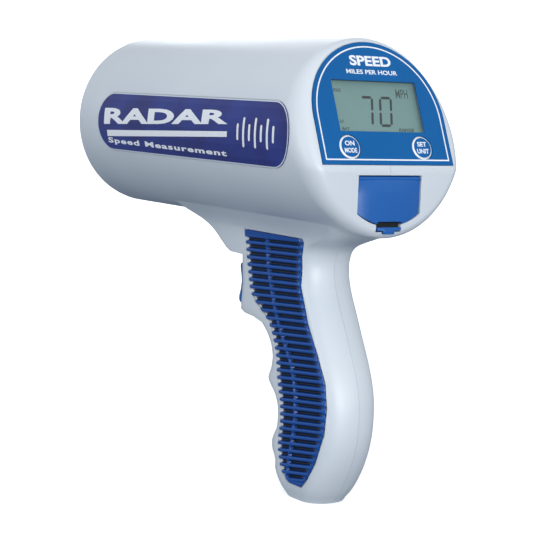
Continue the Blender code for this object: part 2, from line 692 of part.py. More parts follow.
def trigger_switch(parts, cutters):
    """Snap-action switch above the spring, with the plunger that rides with the trigger."""
    body = box("trigger_switch", (68.5, -3.2, -69.8), (81, 3.2, -62.4), parts, dark_plastic())
    well = rod("switch_well", FORWARD_FRAME, (0, -66), 1.6, 75, 90, cutters, sides=20)
    combine(body, well, "DIFFERENCE")
    plunger = rod("trigger_switch_plunger", FORWARD_FRAME, (0, -66), 1.3, 80, TRIGGER_BACK - GAP, parts, steel(),
                  sides=20)
    set_origin(plunger, at(TRIGGER_BACK, 0, -66))


# Electronics in the barrel.

def main_board(parts):
    box("main_board", (36, -27, -11.6), (94, 27, -10), parts, circuit_green())
    box("processor_chip", (52, -7, -9.7), (66, 7, -7.8), parts, dark_plastic())
    box("signal_chip", (74, 6, -9.7), (84, 13, -8), parts, dark_plastic())
    placing = Matrix.Translation(at(0, 0, 0))
    can = rod("power_capacitor", placing, (44, -16), 4.0, -9.7, 1.5, parts, material("can", (0.05, 0.08, 0.2), 0.35),
              sides=24)
    smooth(can)


def leads(parts):
    """Insulated leads between the switch, the battery, the boards and the microwave module."""
    red = material("lead_red", (0.55, 0.02, 0.02), 0.45)
    black = material("lead_black", (0.02, 0.02, 0.02), 0.45)
    routes = {
        "trigger_lead": (black, [(68, 0, -66), (63, 1, -60), (60, 4, -52), (60, 8.5, -45), (60, 12.2, -39),
                                 (60, 15.2, -35), (60.3, 18.0, -32.4), (61, 20, -22), (61, 20.5, -15),
                                 (61, 20.5, -12)]),
        "battery_lead": (red, [(118, 6, -22), (119.2, 8, -16), (116, 14, -12), (108, 18, -9), (98, 20, -7),
                               (90, 20, -7.4), (88, 20, -9.6)]),
        "module_lead": (black, [(95.6, -6, -3), (92, -7, -2), (88, -9, -4), (86, -10, -7), (86, -10, -9.6)]),
        "display_lead": (black, [(31.4, 0, 11), (36, 0, 6), (40, 0, -2), (41, 0, -7), (41, 0, -9.6)]),
    }
    for name, (surface, route) in routes.items():
        places = [at(*point) for point in route]
        tube(name, eased(places), 0.7, parts, surface)


def eased(places, steps=3):
    """A Catmull-Rom curve through the places."""
    padded = [places[0] * 2 - places[1], *places, places[-1] * 2 - places[-2]]
    curve = []
    for a, b, c, d in zip(padded, padded[1:], padded[2:], padded[3:]):
        for i in range(steps):
            t = i / steps
            curve.append(0.5 * (2 * b + (c - a) * t + (2 * a - 5 * b + 4 * c - d) * t ** 2
                                + (3 * b - a - 3 * c + d) * t ** 3))
    return curve + [places[-1]]


# Outside trim and fasteners.

def grip_panel(word, side, parts, cutters):
    """Curved panel let into the side of the handle, standing a little proud of it."""
    prism = panel_prism(f"grip_panel_{word}", 0.0, side, parts)
    skin = handle_solid(f"{word}_panel_skin", -PANEL_PROUD, -38.0, -160.0, cutters)
    core = handle_solid(f"{word}_panel_core", PANEL_SEAT - GAP, -37.0, -160.5, cutters)
    combine(prism, skin, "INTERSECT")
    combine(prism, core, "DIFFERENCE")
    smooth(baked(prism, f"grip_panel_{word}", parts, grip_blue()))


def side_label(word, side, parts, cutters):
    prism = side_label_prism(f"side_label_{word}", 0.0, side, parts)
    top = BARREL_R + 0.2
    combine(prism, barrel_ring(f"{word}_label_skin", top - SIDE_LABEL_THICK, top, cutters), "INTERSECT")
    navy = material("label_navy", (0.016, 0.023, 0.15), 0.3)
    smooth(baked(prism, f"side_label_{word}", parts, navy))


def screws(parts):
    for number, (x, z, head) in enumerate(SCREWS, 1):
        seat = head + GAP
        top = seat + SCREW_HEAD_HEIGHT
        profile = [(0, top), (SCREW_HEAD_R, top), (SCREW_HEAD_R, seat), (SCREW_R, seat), (SCREW_R, SCREW_END),
                   (0, SCREW_END)]
        screw = turned(f"housing_screw_{number}", SIDE_FRAME, profile, parts, steel(), sides=20, axis=(x, z))
        smooth(screw)


def build():
    for obj in list(bpy.data.objects):
        bpy.data.objects.remove(obj)
    parts = collection("speed_radar_gun")
    cutters = collection("cutters")
    housing(parts, cutters)
    front_cover(parts)
    horn_antenna(parts)
    microwave_module(parts)
    display_label(parts)
    lcd_window(parts)
    lcd_panel(parts)
    lcd_holder(parts)
    zebra_strips(parts)
    display_board(parts)
    key("mode", -1, parts, cutters)
    key("select", 1, parts, cutters)
    battery_door(parts, cutters)
    door_latch(parts, cutters)
    battery_tray(parts, cutters)
    cells(parts)
    battery_contacts(parts, cutters)
    trigger(parts, cutters)
    trigger_switch(parts, cutters)
    main_board(parts)
    leads(parts)
    for word, side in (("left", 1), ("right", -1)):
        grip_panel(word, side, parts, cutters)
        side_label(word, side, parts, cutters)
    screws(parts)
    for obj in cutters.objects:
        obj.hide_render = True
        obj.display_type = "WIRE"


build()
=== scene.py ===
"""Looks of a handheld speed radar gun, built round its CAD frame.

+X runs forward along the barrel, +Y is the gun's left and +Z is up. Lengths in the sections are
millimetres in barrel coordinates: x from the rear face, z from the barrel's axis.
"""

import math

import bmesh
import bpy
import numpy as np
from mathutils import Matrix, Vector


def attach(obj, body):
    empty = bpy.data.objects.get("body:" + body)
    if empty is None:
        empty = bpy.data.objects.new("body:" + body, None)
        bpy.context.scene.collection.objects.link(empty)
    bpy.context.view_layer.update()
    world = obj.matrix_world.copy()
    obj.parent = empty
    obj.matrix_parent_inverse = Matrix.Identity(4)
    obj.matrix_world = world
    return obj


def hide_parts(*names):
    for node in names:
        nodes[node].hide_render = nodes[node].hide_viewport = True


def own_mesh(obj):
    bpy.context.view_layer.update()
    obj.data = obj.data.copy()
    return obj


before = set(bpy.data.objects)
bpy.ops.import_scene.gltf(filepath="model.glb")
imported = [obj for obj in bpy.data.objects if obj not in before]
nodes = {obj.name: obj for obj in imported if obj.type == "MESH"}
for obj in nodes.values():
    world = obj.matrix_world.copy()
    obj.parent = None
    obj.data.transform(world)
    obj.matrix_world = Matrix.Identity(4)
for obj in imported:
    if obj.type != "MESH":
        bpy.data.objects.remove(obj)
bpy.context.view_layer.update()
shown = bpy.context.scene.collection


# Stage and lights: a seamless paper floor that curves up behind the gun, a large soft key light low behind
# its left, weaker ones from the top, left, front and rear, and an even pale surround.

def from_hex(code):
    """Linear colour of an sRGB hex value."""
    parts = [int(code[i:i + 2], 16) / 255 for i in (0, 2, 4)]
    return tuple(c / 12.92 if c <= 0.04045 else ((c + 0.055) / 1.055) ** 2.4 for c in parts) + (1.0,)


def new_node(tree, kind, settings=(), inputs=()):
    """Adds a node. Each input is a value or a socket to link from, by the input's name or number."""
    made = tree.nodes.new(kind)
    for name, value in dict(settings).items():
        setattr(made, name, value)
    for key, value in dict(inputs).items():
        if isinstance(value, bpy.types.NodeSocket):
            tree.links.new(value, made.inputs[key])
        else:
            made.inputs[key].default_value = value
    return made


def surface(name, **values):
    """A Principled material, its tree and its shader. Values are the shader's own sockets."""
    made = bpy.data.materials.new(name)
    made.use_nodes = True
    shader = made.node_tree.nodes["Principled BSDF"]
    for key, value in values.items():
        shader.inputs[key.replace("_", " ")].default_value = value
    return made, made.node_tree, shader


def coat(obj, material):
    """Gives a piece one material."""
    obj.data.materials.clear()
    obj.data.materials.append(material)


def add_object(name, data, material=None):
    obj = bpy.data.objects.new(name, data)
    shown.objects.link(obj)
    if material:
        coat(obj, material)
    return obj


paper, _, _ = surface("seamless_paper", Base_Color=from_hex("fbfbfb"), Roughness=0.9,
                      Emission_Color=from_hex("ffffff"), Emission_Strength=0.45)
PAPER_NEAR, PAPER_BEND, BEND_RADIUS, PAPER_TOP, PAPER_HALF = -3.0, 1.2, 0.6, 3.0, 3.5
stage_mesh = bpy.data.meshes.new("stage_floor")
bend = [(PAPER_NEAR, 0.0), (PAPER_BEND, 0.0)]
bend += [(PAPER_BEND + BEND_RADIUS * math.sin(a), BEND_RADIUS - BEND_RADIUS * math.cos(a))
         for a in (math.radians(9 * i) for i in range(1, 11))]
bend += [(PAPER_BEND + BEND_RADIUS, PAPER_TOP)]
depth = Vector((0.830, -0.546, 0)).normalized()  # the way the camera looks, along the floor
across = Vector((-depth.y, depth.x, 0))
stage_points = [across * side + depth * d + Vector((0, 0, h)) for d, h in bend for side in (-PAPER_HALF, PAPER_HALF)]
stage_faces = [(2 * i, 2 * i + 1, 2 * i + 3, 2 * i + 2) for i in range(len(bend) - 1)]
stage_mesh.from_pydata(stage_points, [], stage_faces)
stage_mesh.shade_smooth()
floor = add_object("stage_floor", stage_mesh, paper)
floor.visible_diffuse = False
floor.visible_glossy = False

world = bpy.data.worlds.new("studio")
world.use_nodes = True
sky = world.node_tree
looking = new_node(sky, "ShaderNodeTexCoord").outputs["Generated"]
direction = new_node(sky, "ShaderNodeSeparateXYZ", inputs={0: looking})
height = new_node(sky, "ShaderNodeMapRange", inputs={0: direction.outputs["Z"], 1: -1.0, 2: 1.0, 3: 0.0, 4: 1.0})
bands = new_node(sky, "ShaderNodeValToRGB", inputs={"Fac": height.outputs[0]})
bands.color_ramp.elements[0].color, bands.color_ramp.elements[0].position = from_hex("66758a"), 0.25
bands.color_ramp.elements[1].color, bands.color_ramp.elements[1].position = from_hex("f0f4fa"), 0.85
bands.color_ramp.elements.new(0.5).color = from_hex("b4bfcc")
sky.links.new(bands.outputs["Color"], sky.nodes["Background"].inputs["Color"])
sky.nodes["Background"].inputs["Strength"].default_value = 0.72
bpy.context.scene.world = world


def area_light(name, place, target, width, height, power, colour):
    data = bpy.data.lights.new(name, "AREA")
    data.shape = "RECTANGLE"
    data.size, data.size_y, data.energy = width, height, power
    data.color = from_hex(colour)[:3]
    obj = bpy.data.objects.new(name, data)
    obj.location = place
    obj.rotation_euler = (Vector(target) - Vector(place)).to_track_quat("-Z", "Y").to_euler()
    shown.objects.link(obj)


area_light("key_softbox", (-1.3, 0.62, 0.12), (0, 0, 0.06), 0.9, 0.9, 18.5, "ffffff")
area_light("top_softbox", (0.15, 0.45, 1.35), (0.03, 0, 0.16), 1.0, 0.7, 0.9, "fbfdff")
area_light("side_softbox", (0.1, 1.5, 0.3), (0.02, 0, 0.08), 0.3, 0.8, 4.2, "fafcff")
area_light("front_fill", (1.3, -0.9, 0.55), (0.05, 0, 0.14), 0.8, 0.9, 6.0, "fafcff")
area_light("rear_strip", (-1.35, -0.22, 0.3), (0, 0, 0.12), 0.16, 0.9, 2.6, "ffffff")
bpy.context.scene.view_settings.view_transform = "Standard"

camera_data = bpy.data.cameras.new("camera")
camera_data.sensor_width = 36
camera_data.lens = 106.96
camera_data.clip_start = 0.01
camera = bpy.data.objects.new("camera", camera_data)
right = Vector((-0.54567, -0.83708, 0.03934))
up = Vector((0.11484, -0.02820, 0.99299))
camera.matrix_world = Matrix.Translation((-0.56312, 0.40127, 0.17968)) @ Matrix(
    (right, up, right.cross(up))).transposed().to_4x4()
shown.objects.link(camera)
bpy.context.scene.camera = camera


# Housing: two clamshell halves moulded in pale blue-grey ABS with a fine spark-eroded texture, joined on
# the middle plane by six screws. The barrel's rear rim is rounded most at the sides.

BARREL_R = 41.5
BARREL_LENGTH = 207.5
AXIS_HEIGHT = 161.0
BASE_CENTRE_X = 44.0
KINK_Z = -12.7  # the rear face is upright below this height and leans forward above it
PANEL_TILT = math.radians(22.7)
WALL = 2.5
GAP = 0.3  # clearance round a piece that is let in
SEAM = 0.06  # half the gap at the parting line
MM = 0.001

BACK_OUTLINE = [(-34, 4), (-43.5, 16), (-45.8, 25), (-47.5, 31.4), (-50, 34.4), (-54.3, 36.6), (-59.7, 36.9),
                (-65, 35.8), (-71.7, 33), (-78.3, 29.4), (-91.4, 22.8), (-97.9, 19.4), (-104.4, 16.6),
                (-111, 14.6), (-116, 13.9), (-121.5, 13.7), (-128.7, 14.2), (-136.2, 15.9), (-144.1, 19.1),
                (-152.5, 24), (-157, 27.2), (-159.6, 29.4), (-161, 31.4)]
FRONT_OUTLINE = [(-34, 156), (-40, 146), (-43.5, 134.2), (-45.8, 128.9), (-48.6, 123.7), (-51.4, 119.8),
                 (-54, 116), (-55.8, 113), (-57, 110), (-57.4, 99), (-71, 97.8), (-82.5, 98.6),
                 (-83.8, 95.6), (-84.6, 88), (-86.4, 80.6), (-90.1, 75.8), (-95.1, 72), (-100.3, 70.4),
                 (-105.8, 71.2), (-109.9, 73.5), (-111.8, 73.2), (-114, 70.6), (-116.4, 67.7), (-121.2, 65),
                 (-126.6, 64.2), (-132.2, 65), (-135.4, 67.2), (-138.5, 68.6), (-142, 68), (-144.6, 66),
                 (-146.6, 64.9), (-150.2, 65.3), (-153.9, 63.4), (-157.4, 61), (-159.6, 58.4), (-161, 56)]
HALF_WIDTH = [(-34, 22), (-40, 16.6), (-43.5, 14.4), (-47.5, 13.3), (-52, 13), (-150, 12.9), (-155, 12.4),
              (-159.6, 11.4), (-161, 10.2)]
BACK_ROUND = 9.0
FRONT_ROUND = 10.0
SCREWS = [(52, 31.5, 16), (140, 31.5, 16), (140, -31.5, 16), (113, -51.5, 8.5), (56, -66, 7.5), (36, -132, 7.5)]


def at(x, y, z):
    """World place in metres of a point in barrel coordinates."""
    return Vector(((x - BASE_CENTRE_X) * MM, y * MM, (z + AXIS_HEIGHT) * MM))


def local_frame(origin, right, up):
    right, up = Vector(right).normalized(), Vector(up).normalized()
    turn = Matrix((right, up, right.cross(up))).transposed().to_4x4()
    return Matrix.Translation(at(*origin)) @ turn @ Matrix.Diagonal((MM, MM, MM, 1))


PANEL = local_frame((0, 0, KINK_Z), (0, -1, 0), (math.sin(PANEL_TILT), 0, math.cos(PANEL_TILT)))
REAR = local_frame((0, 0, 0), (0, -1, 0), (0, 0, 1))
SIDE = local_frame((0, 0, 0), (1, 0, 0), (0, 0, 1))
FORWARD = local_frame((0, 0, 0), (0, 1, 0), (0, 0, 1))


def read(table, height):
    """Value of a table sorted downwards, at a height."""
    heights = [row[0] for row in reversed(table)]
    values = [row[1] for row in reversed(table)]
    return float(np.interp(height, heights, values))


def mesh_object(name, points, faces):
    """A mesh with its doubles merged and its faces pointing out."""
    mesh = bpy.data.meshes.new(name)
    mesh.from_pydata([tuple(p) for p in points], [], faces)
    work = bmesh.new()
    work.from_mesh(mesh)
    bmesh.ops.remove_doubles(work, verts=work.verts, dist=1e-6)
    bmesh.ops.recalc_face_normals(work, faces=work.faces)
    work.to_mesh(mesh)
    work.free()
    return add_object(name, mesh)


def applied(obj):
    """Replaces an object's mesh by its evaluated one and removes the modifiers."""
    bpy.context.view_layer.update()
    obj_now = obj.evaluated_get(bpy.context.evaluated_depsgraph_get())
    result = bpy.data.meshes.new_from_object(obj_now)
    obj.modifiers.clear()
    obj.data = result
    return obj


def made_mesh(name, curve):
    """The mesh of a curve or a text."""
    obj = add_object(name, curve)
    bpy.context.view_layer.update()
    mesh = bpy.data.meshes.new_from_object(obj.evaluated_get(bpy.context.evaluated_depsgraph_get()))
    bpy.data.objects.remove(obj)
    return mesh


def smooth(obj, sharp_from):
    """Smooth shading, with edges sharper than this many degrees kept."""
    obj.data.shade_smooth()
    obj.data.set_sharp_from_angle(angle=math.radians(sharp_from))


def bands(rings):
    """The faces between closed rings of the same number of points."""
    count = len(rings[0])
    faces = []
    for k in range(len(rings) - 1):
        for i in range(count):
            j = (i + 1) % count
            faces.append((k * count + i, k * count + j, (k + 1) * count + j, (k + 1) * count + i))
    return faces


def loft(name, rings):
    """A closed solid through level rings of the same number of points."""
    count = len(rings[0])
    faces = bands(rings)
    faces.append(tuple(range(count)))
    faces.append(tuple((len(rings) - 1) * count + i for i in range(count)))
    return mesh_object(name, [p for ring in rings for p in ring], faces)


def prism(name, placing, outline, low, high):
    """A straight solid of one outline, between two levels of a local frame."""
    return loft(name, [[placing @ Vector((u, v, w)) for u, v in outline] for w in (low, high)])


def rounded(half_width, half_height, radius, centre=(0, 0), steps=6):
    outline = []
    for sx, sy, start in ((1, 1, 0), (-1, 1, 90), (-1, -1, 180), (1, -1, 270)):
        for i in range(steps + 1):
            a = math.radians(start + 90 * i / steps)
            outline.append((centre[0] + sx * (half_width - radius) + radius * math.cos(a),
                            centre[1] + sy * (half_height - radius) + radius * math.sin(a)))
    return outline


def circle(radius, centre=(0, 0), sides=48):
    turns = [math.tau * i / sides for i in range(sides)]
    return [(centre[0] + radius * math.cos(a), centre[1] + radius * math.sin(a)) for a in turns]


def rear_x(z):
    """Where the bent rear face lies at a height."""
    return max(0.0, (z - KINK_Z) * math.tan(PANEL_TILT))


RIM_DEPTH, RIM_REACH = 6.4, 13.0  # rear rim at the sides: how far it comes in, and how far forward it starts
RIM_TOP, RIM_BOTTOM = 2.4, 4.2  # its radius at the top and the bottom
FRONT_EDGE = 4.0


def barrel_shape():
    """The barrel with a rear rim whose rounding is widest at the sides and a rounded front edge."""
    sides, steps = 160, 9
    turns = [math.tau * (i + 0.5) / sides for i in range(sides)]

    def ring_at(step):
        ring = []
        for a in turns:
            level = math.sin(a)
            upright = (RIM_TOP if level > 0 else RIM_BOTTOM) * level * level
            rim = RIM_DEPTH * (1 - level * level) + upright
            reach = RIM_REACH * (1 - level * level) + upright
            turn = math.pi / 2 * step / steps
            radius = BARREL_R - rim * (1 - math.sin(turn))
            z = radius * math.sin(a)
            ring.append(at(rear_x(z) + reach * (1 - math.cos(turn)), radius * math.cos(a), z))
        return ring

    rings = [ring_at(step) for step in range(steps + 1)]
    rings.append([at(120, BARREL_R * math.cos(a), BARREL_R * math.sin(a)) for a in turns])
    for step in range(6):
        turn = math.pi / 2 * step / 5
        radius = BARREL_R - FRONT_EDGE * (1 - math.cos(turn))
        x = BARREL_LENGTH - FRONT_EDGE + FRONT_EDGE * math.sin(turn)
        rings.append([at(x, radius * math.cos(a), radius * math.sin(a)) for a in turns])
    faces = bands(rings)
    faces.append(tuple((len(rings) - 1) * sides + i for i in range(sides)))
    # The bent rear face is closed by level strips, so that it folds only at its kink.
    quarter = sides // 4
    for step in range(-quarter, quarter - 1):
        a, b = step % sides, (step + 1) % sides
        faces.append((a, b, (sides // 2 - 1 - b) % sides, (sides // 2 - 1 - a) % sides))
    return mesh_object("barrel_shape", [p for ring in rings for p in ring], faces)


def eased(table, z, spread=3.0):
    """A table's value averaged over a few heights, so that its corners are round."""
    return sum(read(table, z + spread * k / 3) for k in range(-3, 4)) / 7


def handle_ring(height, inset, ends=20):
    """The handle's outline at a height, with round ends. Its front keeps its corners beside the trigger slot."""
    near_slot = -87.0 < height < -54.0
    back = eased(BACK_OUTLINE, height, 2.4) + inset
    front = (read(FRONT_OUTLINE, height) if near_slot else eased(FRONT_OUTLINE, height, 1.2)) - inset
    half = eased(HALF_WIDTH, height, 3.0) - inset
    ring = []
    for centre, radius, start in ((front - FRONT_ROUND, FRONT_ROUND - inset, -90),
                                  (back + BACK_ROUND, BACK_ROUND - inset, 90)):
        for i in range(ends + 1):
            turn = math.radians(start + 180 * i / ends)
            centre_x = centre + (inset if start < 0 else -inset)
            ring.append(at(centre_x + radius * math.cos(turn), half * math.sin(turn), height))
    return ring


def handle_shape(name, inset, top, bottom):
    heights = {h for h, _ in FRONT_OUTLINE if bottom < h < top} | {top, bottom}
    step = -37.0
    while step > bottom:
        if step < top and min(abs(step - h) for h in heights) > 0.5:
            heights.add(step)
        step -= 1.5
    heights = sorted(heights)
    return loft(name, [handle_ring(h, inset) for h in heights])


def combine(obj, other, operation):
    """Applies a Boolean and drops the other shape."""
    modifier = obj.modifiers.new("combine", "BOOLEAN")
    modifier.operation, modifier.solver, modifier.object = operation, "EXACT", other
    applied(obj)
    bpy.data.objects.remove(other)
    return obj


LABEL_HALF_WIDTH, LABEL_ARC_HEIGHT, LABEL_LOW = 33.8, 22.9, 2.3


def label_outline(inset=0.0, steps=48):
    """The display label: a half circle on a box."""
    half = LABEL_HALF_WIDTH - inset
    turns = [math.pi * i / steps for i in range(steps + 1)]
    arc = [(half * math.cos(a), LABEL_ARC_HEIGHT + half * math.sin(a)) for a in turns]
    return arc + [(-half, LABEL_LOW + inset), (half, LABEL_LOW + inset)]


DOOR_HALF_WIDTH, DOOR_TOP, DOOR_CORNER = 16.0, -15.2, -30.6
DOOR_ARCH_CENTRE = -8.07
HINGE_SPOT = (1.3, -16.3)  # x and z of the door's hinge


def door_outline(grow=0.0, steps=28):
    """The battery door: straight top and sides, and a shallow arch below."""
    half = DOOR_HALF_WIDTH + grow
    radius = math.hypot(DOOR_HALF_WIDTH, DOOR_CORNER - DOOR_ARCH_CENTRE) + grow
    end = math.asin(half / radius)
    turns = [end - 2 * end * i / steps for i in range(steps + 1)]
    arch = [(radius * math.sin(a), DOOR_ARCH_CENTRE - radius * math.cos(a)) for a in turns]
    return [(-half, DOOR_TOP + grow), (half, DOOR_TOP + grow)] + arch


GRIP_FRONT = [(-45.4, 89.6), (-58, 87.4), (-73, 83.6), (-77.4, 79.4), (-84, 68), (-90, 63.8), (-98, 60.4), (-111, 58.2),
              (-119, 55.6), (-129, 54.8), (-136, 56.2), (-142, 55.6), (-150, 52.6), (-154, 48.6)]
GRIP_BACK = [(-45.4, 42.2), (-46.8, 41.5), (-53.3, 43.6), (-66, 43.3), (-81.6, 36.6), (-94, 28.8), (-105.5, 22.6),
             (-116, 20.6), (-127.6, 21.4), (-141.5, 26.8), (-150.5, 33), (-154, 37)]


def box_shape(name, placing, low, high):
    outline = [(low[0], low[1]), (high[0], low[1]), (high[0], high[1]), (low[0], high[1])]
    return prism(name, placing, outline, low[2], high[2])


LABEL_REAR, LABEL_FRONT = 15.1, 183.8
LABEL_HALF_HEIGHT = BARREL_R * math.sin(math.radians(19.6))
LABEL_MIDDLE = (LABEL_REAR + LABEL_FRONT) / 2
LABEL_HALF_LENGTH = (LABEL_FRONT - LABEL_REAR) / 2


def side_label_outline(grow):
    half = LABEL_HALF_HEIGHT + grow
    return rounded(LABEL_HALF_LENGTH + grow, half, half - 0.6, (LABEL_MIDDLE, 0), steps=14)


def barrel_tube(inner, outer):
    """A ring round the barrel's axis, longer than the side label."""
    sides = 160
    profile = [(inner, 8.0), (outer, 8.0), (outer, 190.0), (inner, 190.0)]
    rings = [[FORWARD @ Vector((r * math.cos(a), r * math.sin(a), h)) for r, h in profile]
             for a in (math.tau * i / sides for i in range(sides))]
    count = len(profile)
    faces = [(k * count + i, k * count + (i + 1) % count, (k + 1) % sides * count + (i + 1) % count,
              (k + 1) % sides * count + i) for k in range(sides) for i in range(count)]
    return mesh_object("barrel_tube", [p for ring in rings for p in ring], faces)


KEY_SPOT = (18.75, 9.85)  # across and up the panel


def housing_shape():
    """The closed housing in one solid, with its openings, recesses and screw holes."""
    whole = barrel_shape()
    combine(whole, handle_shape("handle_outer", 0.0, -36.0, -161.0), "UNION")
    hollow = prism("hollow", FORWARD, circle(BARREL_R - WALL - 0.6, sides=64), 30.0, 201.0)
    combine(whole, hollow, "DIFFERENCE")
    combine(whole, box_shape("board_space", PANEL, (-25, 3, -22), (25, 43, -WALL)), "DIFFERENCE")
    combine(whole, box_shape("cell_space", REAR, (-17, -35.6, -32), (17, -14.2, -WALL)), "DIFFERENCE")
    combine(whole, prism("front_opening", FORWARD, circle(BARREL_R - 5.0, sides=96), 195, 215), "DIFFERENCE")
    combine(whole, handle_shape("handle_hollow", WALL, -44.0, -158.0), "DIFFERENCE")
    combine(whole, prism("label_recess", PANEL, label_outline(-GAP), -0.7, 8), "DIFFERENCE")
    combine(whole, prism("window_opening", PANEL, rounded(23.4, 12.3, 1, (0, 28.05)), -6, 5), "DIFFERENCE")
    combine(whole, prism("door_opening", REAR, door_outline(0.35), -12, 5), "DIFFERENCE")
    combine(whole, box_shape("latch_notch", REAR, (-6.4, -38.4, -7.2), (6.4, -33, 5)), "DIFFERENCE")
    combine(whole, box_shape("latch_catch", REAR, (-3.2, -39.7, -1.2), (3.2, -38, 5)), "DIFFERENCE")
    combine(whole, box_shape("trigger_slot", SIDE, (84, -82.3, -7.2), (101.4, -55, 7.2)), "DIFFERENCE")
    for side in (-1, 1):
        key_hole = prism("key_hole", PANEL, circle(5.4, (side * KEY_SPOT[0], KEY_SPOT[1])), -6, 5)
        combine(whole, key_hole, "DIFFERENCE")
        heights = np.arange(-154.0, -45.0, 1.0)
        edge = [(read(GRIP_FRONT, h) + GAP, h) for h in heights]
        edge += [(read(GRIP_BACK, h) - GAP, h) for h in heights[::-1]]
        edge = [(x, -154.3 if h == heights[0] else (-45.0 if h == heights[-1] else h)) for x, h in edge]
        seat = prism("grip_seat", SIDE, edge, *sorted((side * 4.0, side * 20.0)))
        combine(seat, handle_shape("grip_floor", 1.3, -38.0, -160.0), "DIFFERENCE")
        combine(whole, seat, "DIFFERENCE")
        recess = prism("label_seat", SIDE, side_label_outline(GAP), *sorted((side * 20.0, side * 50.0)))
        combine(recess, barrel_tube(BARREL_R - 0.45, BARREL_R + 6), "INTERSECT")
        combine(whole, recess, "DIFFERENCE")
    for x, z, head in SCREWS:
        combine(whole, prism("head_hole", SIDE, circle(3.2, (x, z), 32), head, 45), "DIFFERENCE")
    return whole


def mottled(tree, shader, scale, detail, low, high, span=(0.0, 1.0)):
    """Lets the base colour drift between two hex colours, in patches. Returns the patches."""
    place = new_node(tree, "ShaderNodeTexCoord").outputs["Object"]
    cloud = new_node(tree, "ShaderNodeTexNoise", inputs={"Vector": place, "Scale": scale, "Detail": detail})
    tint = new_node(tree, "ShaderNodeValToRGB", inputs={"Fac": cloud.outputs["Fac"]})
    first, second = tint.color_ramp.elements
    first.color, second.color = from_hex(low), from_hex(high)
    first.position, second.position = span
    tree.links.new(tint.outputs["Color"], shader.inputs["Base Color"])
    return cloud


def grained(tree, shader, scale, detail, strength):
    """Gives the surface a fine relief."""
    place = new_node(tree, "ShaderNodeTexCoord").outputs["Object"]
    grain = new_node(tree, "ShaderNodeTexNoise", inputs={"Vector": place, "Scale": scale, "Detail": detail})
    bump = new_node(tree, "ShaderNodeBump", inputs={
        "Height": grain.outputs["Fac"], "Strength": strength, "Distance": 0.0001})
    tree.links.new(bump.outputs["Normal"], shader.inputs["Normal"])


def abs_material():
    """ABS, injection moulded with a fine spark-eroded texture: a soft satin sheen and an even pale blue-grey."""
    made, tree, shader = surface("abs_spark_eroded", Roughness=0.38, IOR=1.54)
    # Grain of the eroded tool is about 0.15 mm; drawn at 0.5 mm so that it shows.
    grained(tree, shader, 2000.0, 2.0, 0.12)
    cloud = mottled(tree, shader, 18.0, 3.0, "d0d8df", "d6dde3", (0.3, 0.7))
    rough = new_node(tree, "ShaderNodeMapRange", inputs={0: cloud.outputs["Fac"], 1: 0.3, 2: 0.7, 3: 0.34, 4: 0.42})
    tree.links.new(rough.outputs[0], shader.inputs["Roughness"])
    return made


abs_grey = abs_material()
whole = housing_shape()
for word, side in (("left", 1), ("right", -1)):
    half = add_object(f"housing_shell_{word}", whole.data.copy(), abs_grey)
    low, high = (-60, SEAM) if side > 0 else (-SEAM, 60)
    combine(half, box_shape("other_side", SIDE, (-60, -220, -high), (260, 80, -low)), "DIFFERENCE")
    coat(half, abs_grey)
    smooth(half, 32)
    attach(half, "housing")
    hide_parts(f"housing_{word}")
bpy.data.objects.remove(whole)


# Front cover: flat disc that the radar beam passes through, moulded in the same ABS as the housing.
# It is snapped in behind the lip at the front of the barrel.

cover = nodes["front_cover"]
coat(cover, abs_grey)


# Display label: polyester overlay printed blue on its back, with white lines, laid in a shallow recess of
# the sloped panel. The keys' rings and words are printed the same way.

def print_shape(name, outlines, placing, level, material, thick=0.02):
    """Printed areas: filled outlines with holes, as one thin sheet in a local frame."""
    curve = bpy.data.curves.new(name, "CURVE")
    curve.dimensions, curve.fill_mode, curve.extrude = "2D", "BOTH", thick / 2
    for outline in outlines:
        spline = curve.splines.new("POLY")
        spline.points.add(len(outline) - 1)
        for point, (u, v) in zip(spline.points, outline):
            point.co = (u, v, 0, 1)
        spline.use_cyclic_u = True
    mesh = made_mesh(name + "_curve", curve)
    mesh.transform(placing @ Matrix.Translation((0, 0, level)))
    return add_object(name, mesh, material)


CAP_SHARE = 0.72  # a capital's share of the font's size


def lettering(words, height, offset=0.0, shear=0.0, spacing=1.0, width=None):
    """A text's mesh, its letters this high, centred on its own middle, flat in millimetres."""
    curve = bpy.data.curves.new("lettering", "FONT")
    curve.body = words
    curve.size = height / CAP_SHARE
    curve.offset = offset
    curve.shear = shear
    curve.space_character = spacing
    curve.resolution_u = 4
    curve.extrude = 0.01
    mesh = made_mesh("lettering", curve)
    spots = np.array([v.co for v in mesh.vertices])
    middle = (spots.min(0) + spots.max(0)) / 2
    size = spots.max(0) - spots.min(0)
    stretch = width / size[0] if width else 1.0
    mesh.transform(Matrix.Diagonal((stretch, height / size[1], 1, 1)) @ Matrix.Translation(-Vector(middle)))
    return mesh


def joined(name, meshes, material):
    """One object from several meshes."""
    work = bmesh.new()
    for mesh in meshes:
        work.from_mesh(mesh)
    result = bpy.data.meshes.new(name)
    work.to_mesh(result)
    work.free()
    return add_object(name, result, material)


# Polyester film printed on its back: the colour lies under an even gloss with a very slight orange peel.
overlay_blue, tree, shader = surface("printed_polyester_blue", Roughness=0.36, IOR=1.45, Specular_IOR_Level=0.3)
grained(tree, shader, 700.0, 1.0, 0.08)
mottled(tree, shader, 40.0, 2.0, "005a9a", "0061a4")

# Screen ink: opaque and nearly white, a little uneven where the mesh let it through.
print_white, tree, shader = surface("screen_ink_white", Roughness=0.35, IOR=1.5)
mottled(tree, shader, 900.0, 2.0, "e9eef4", "f6f8fb")

label = nodes["display_label"]
coat(label, overlay_blue)

LABEL_TOP = 0.2  # printed face above the panel plane
ink = LABEL_TOP + 0.02
prints = []


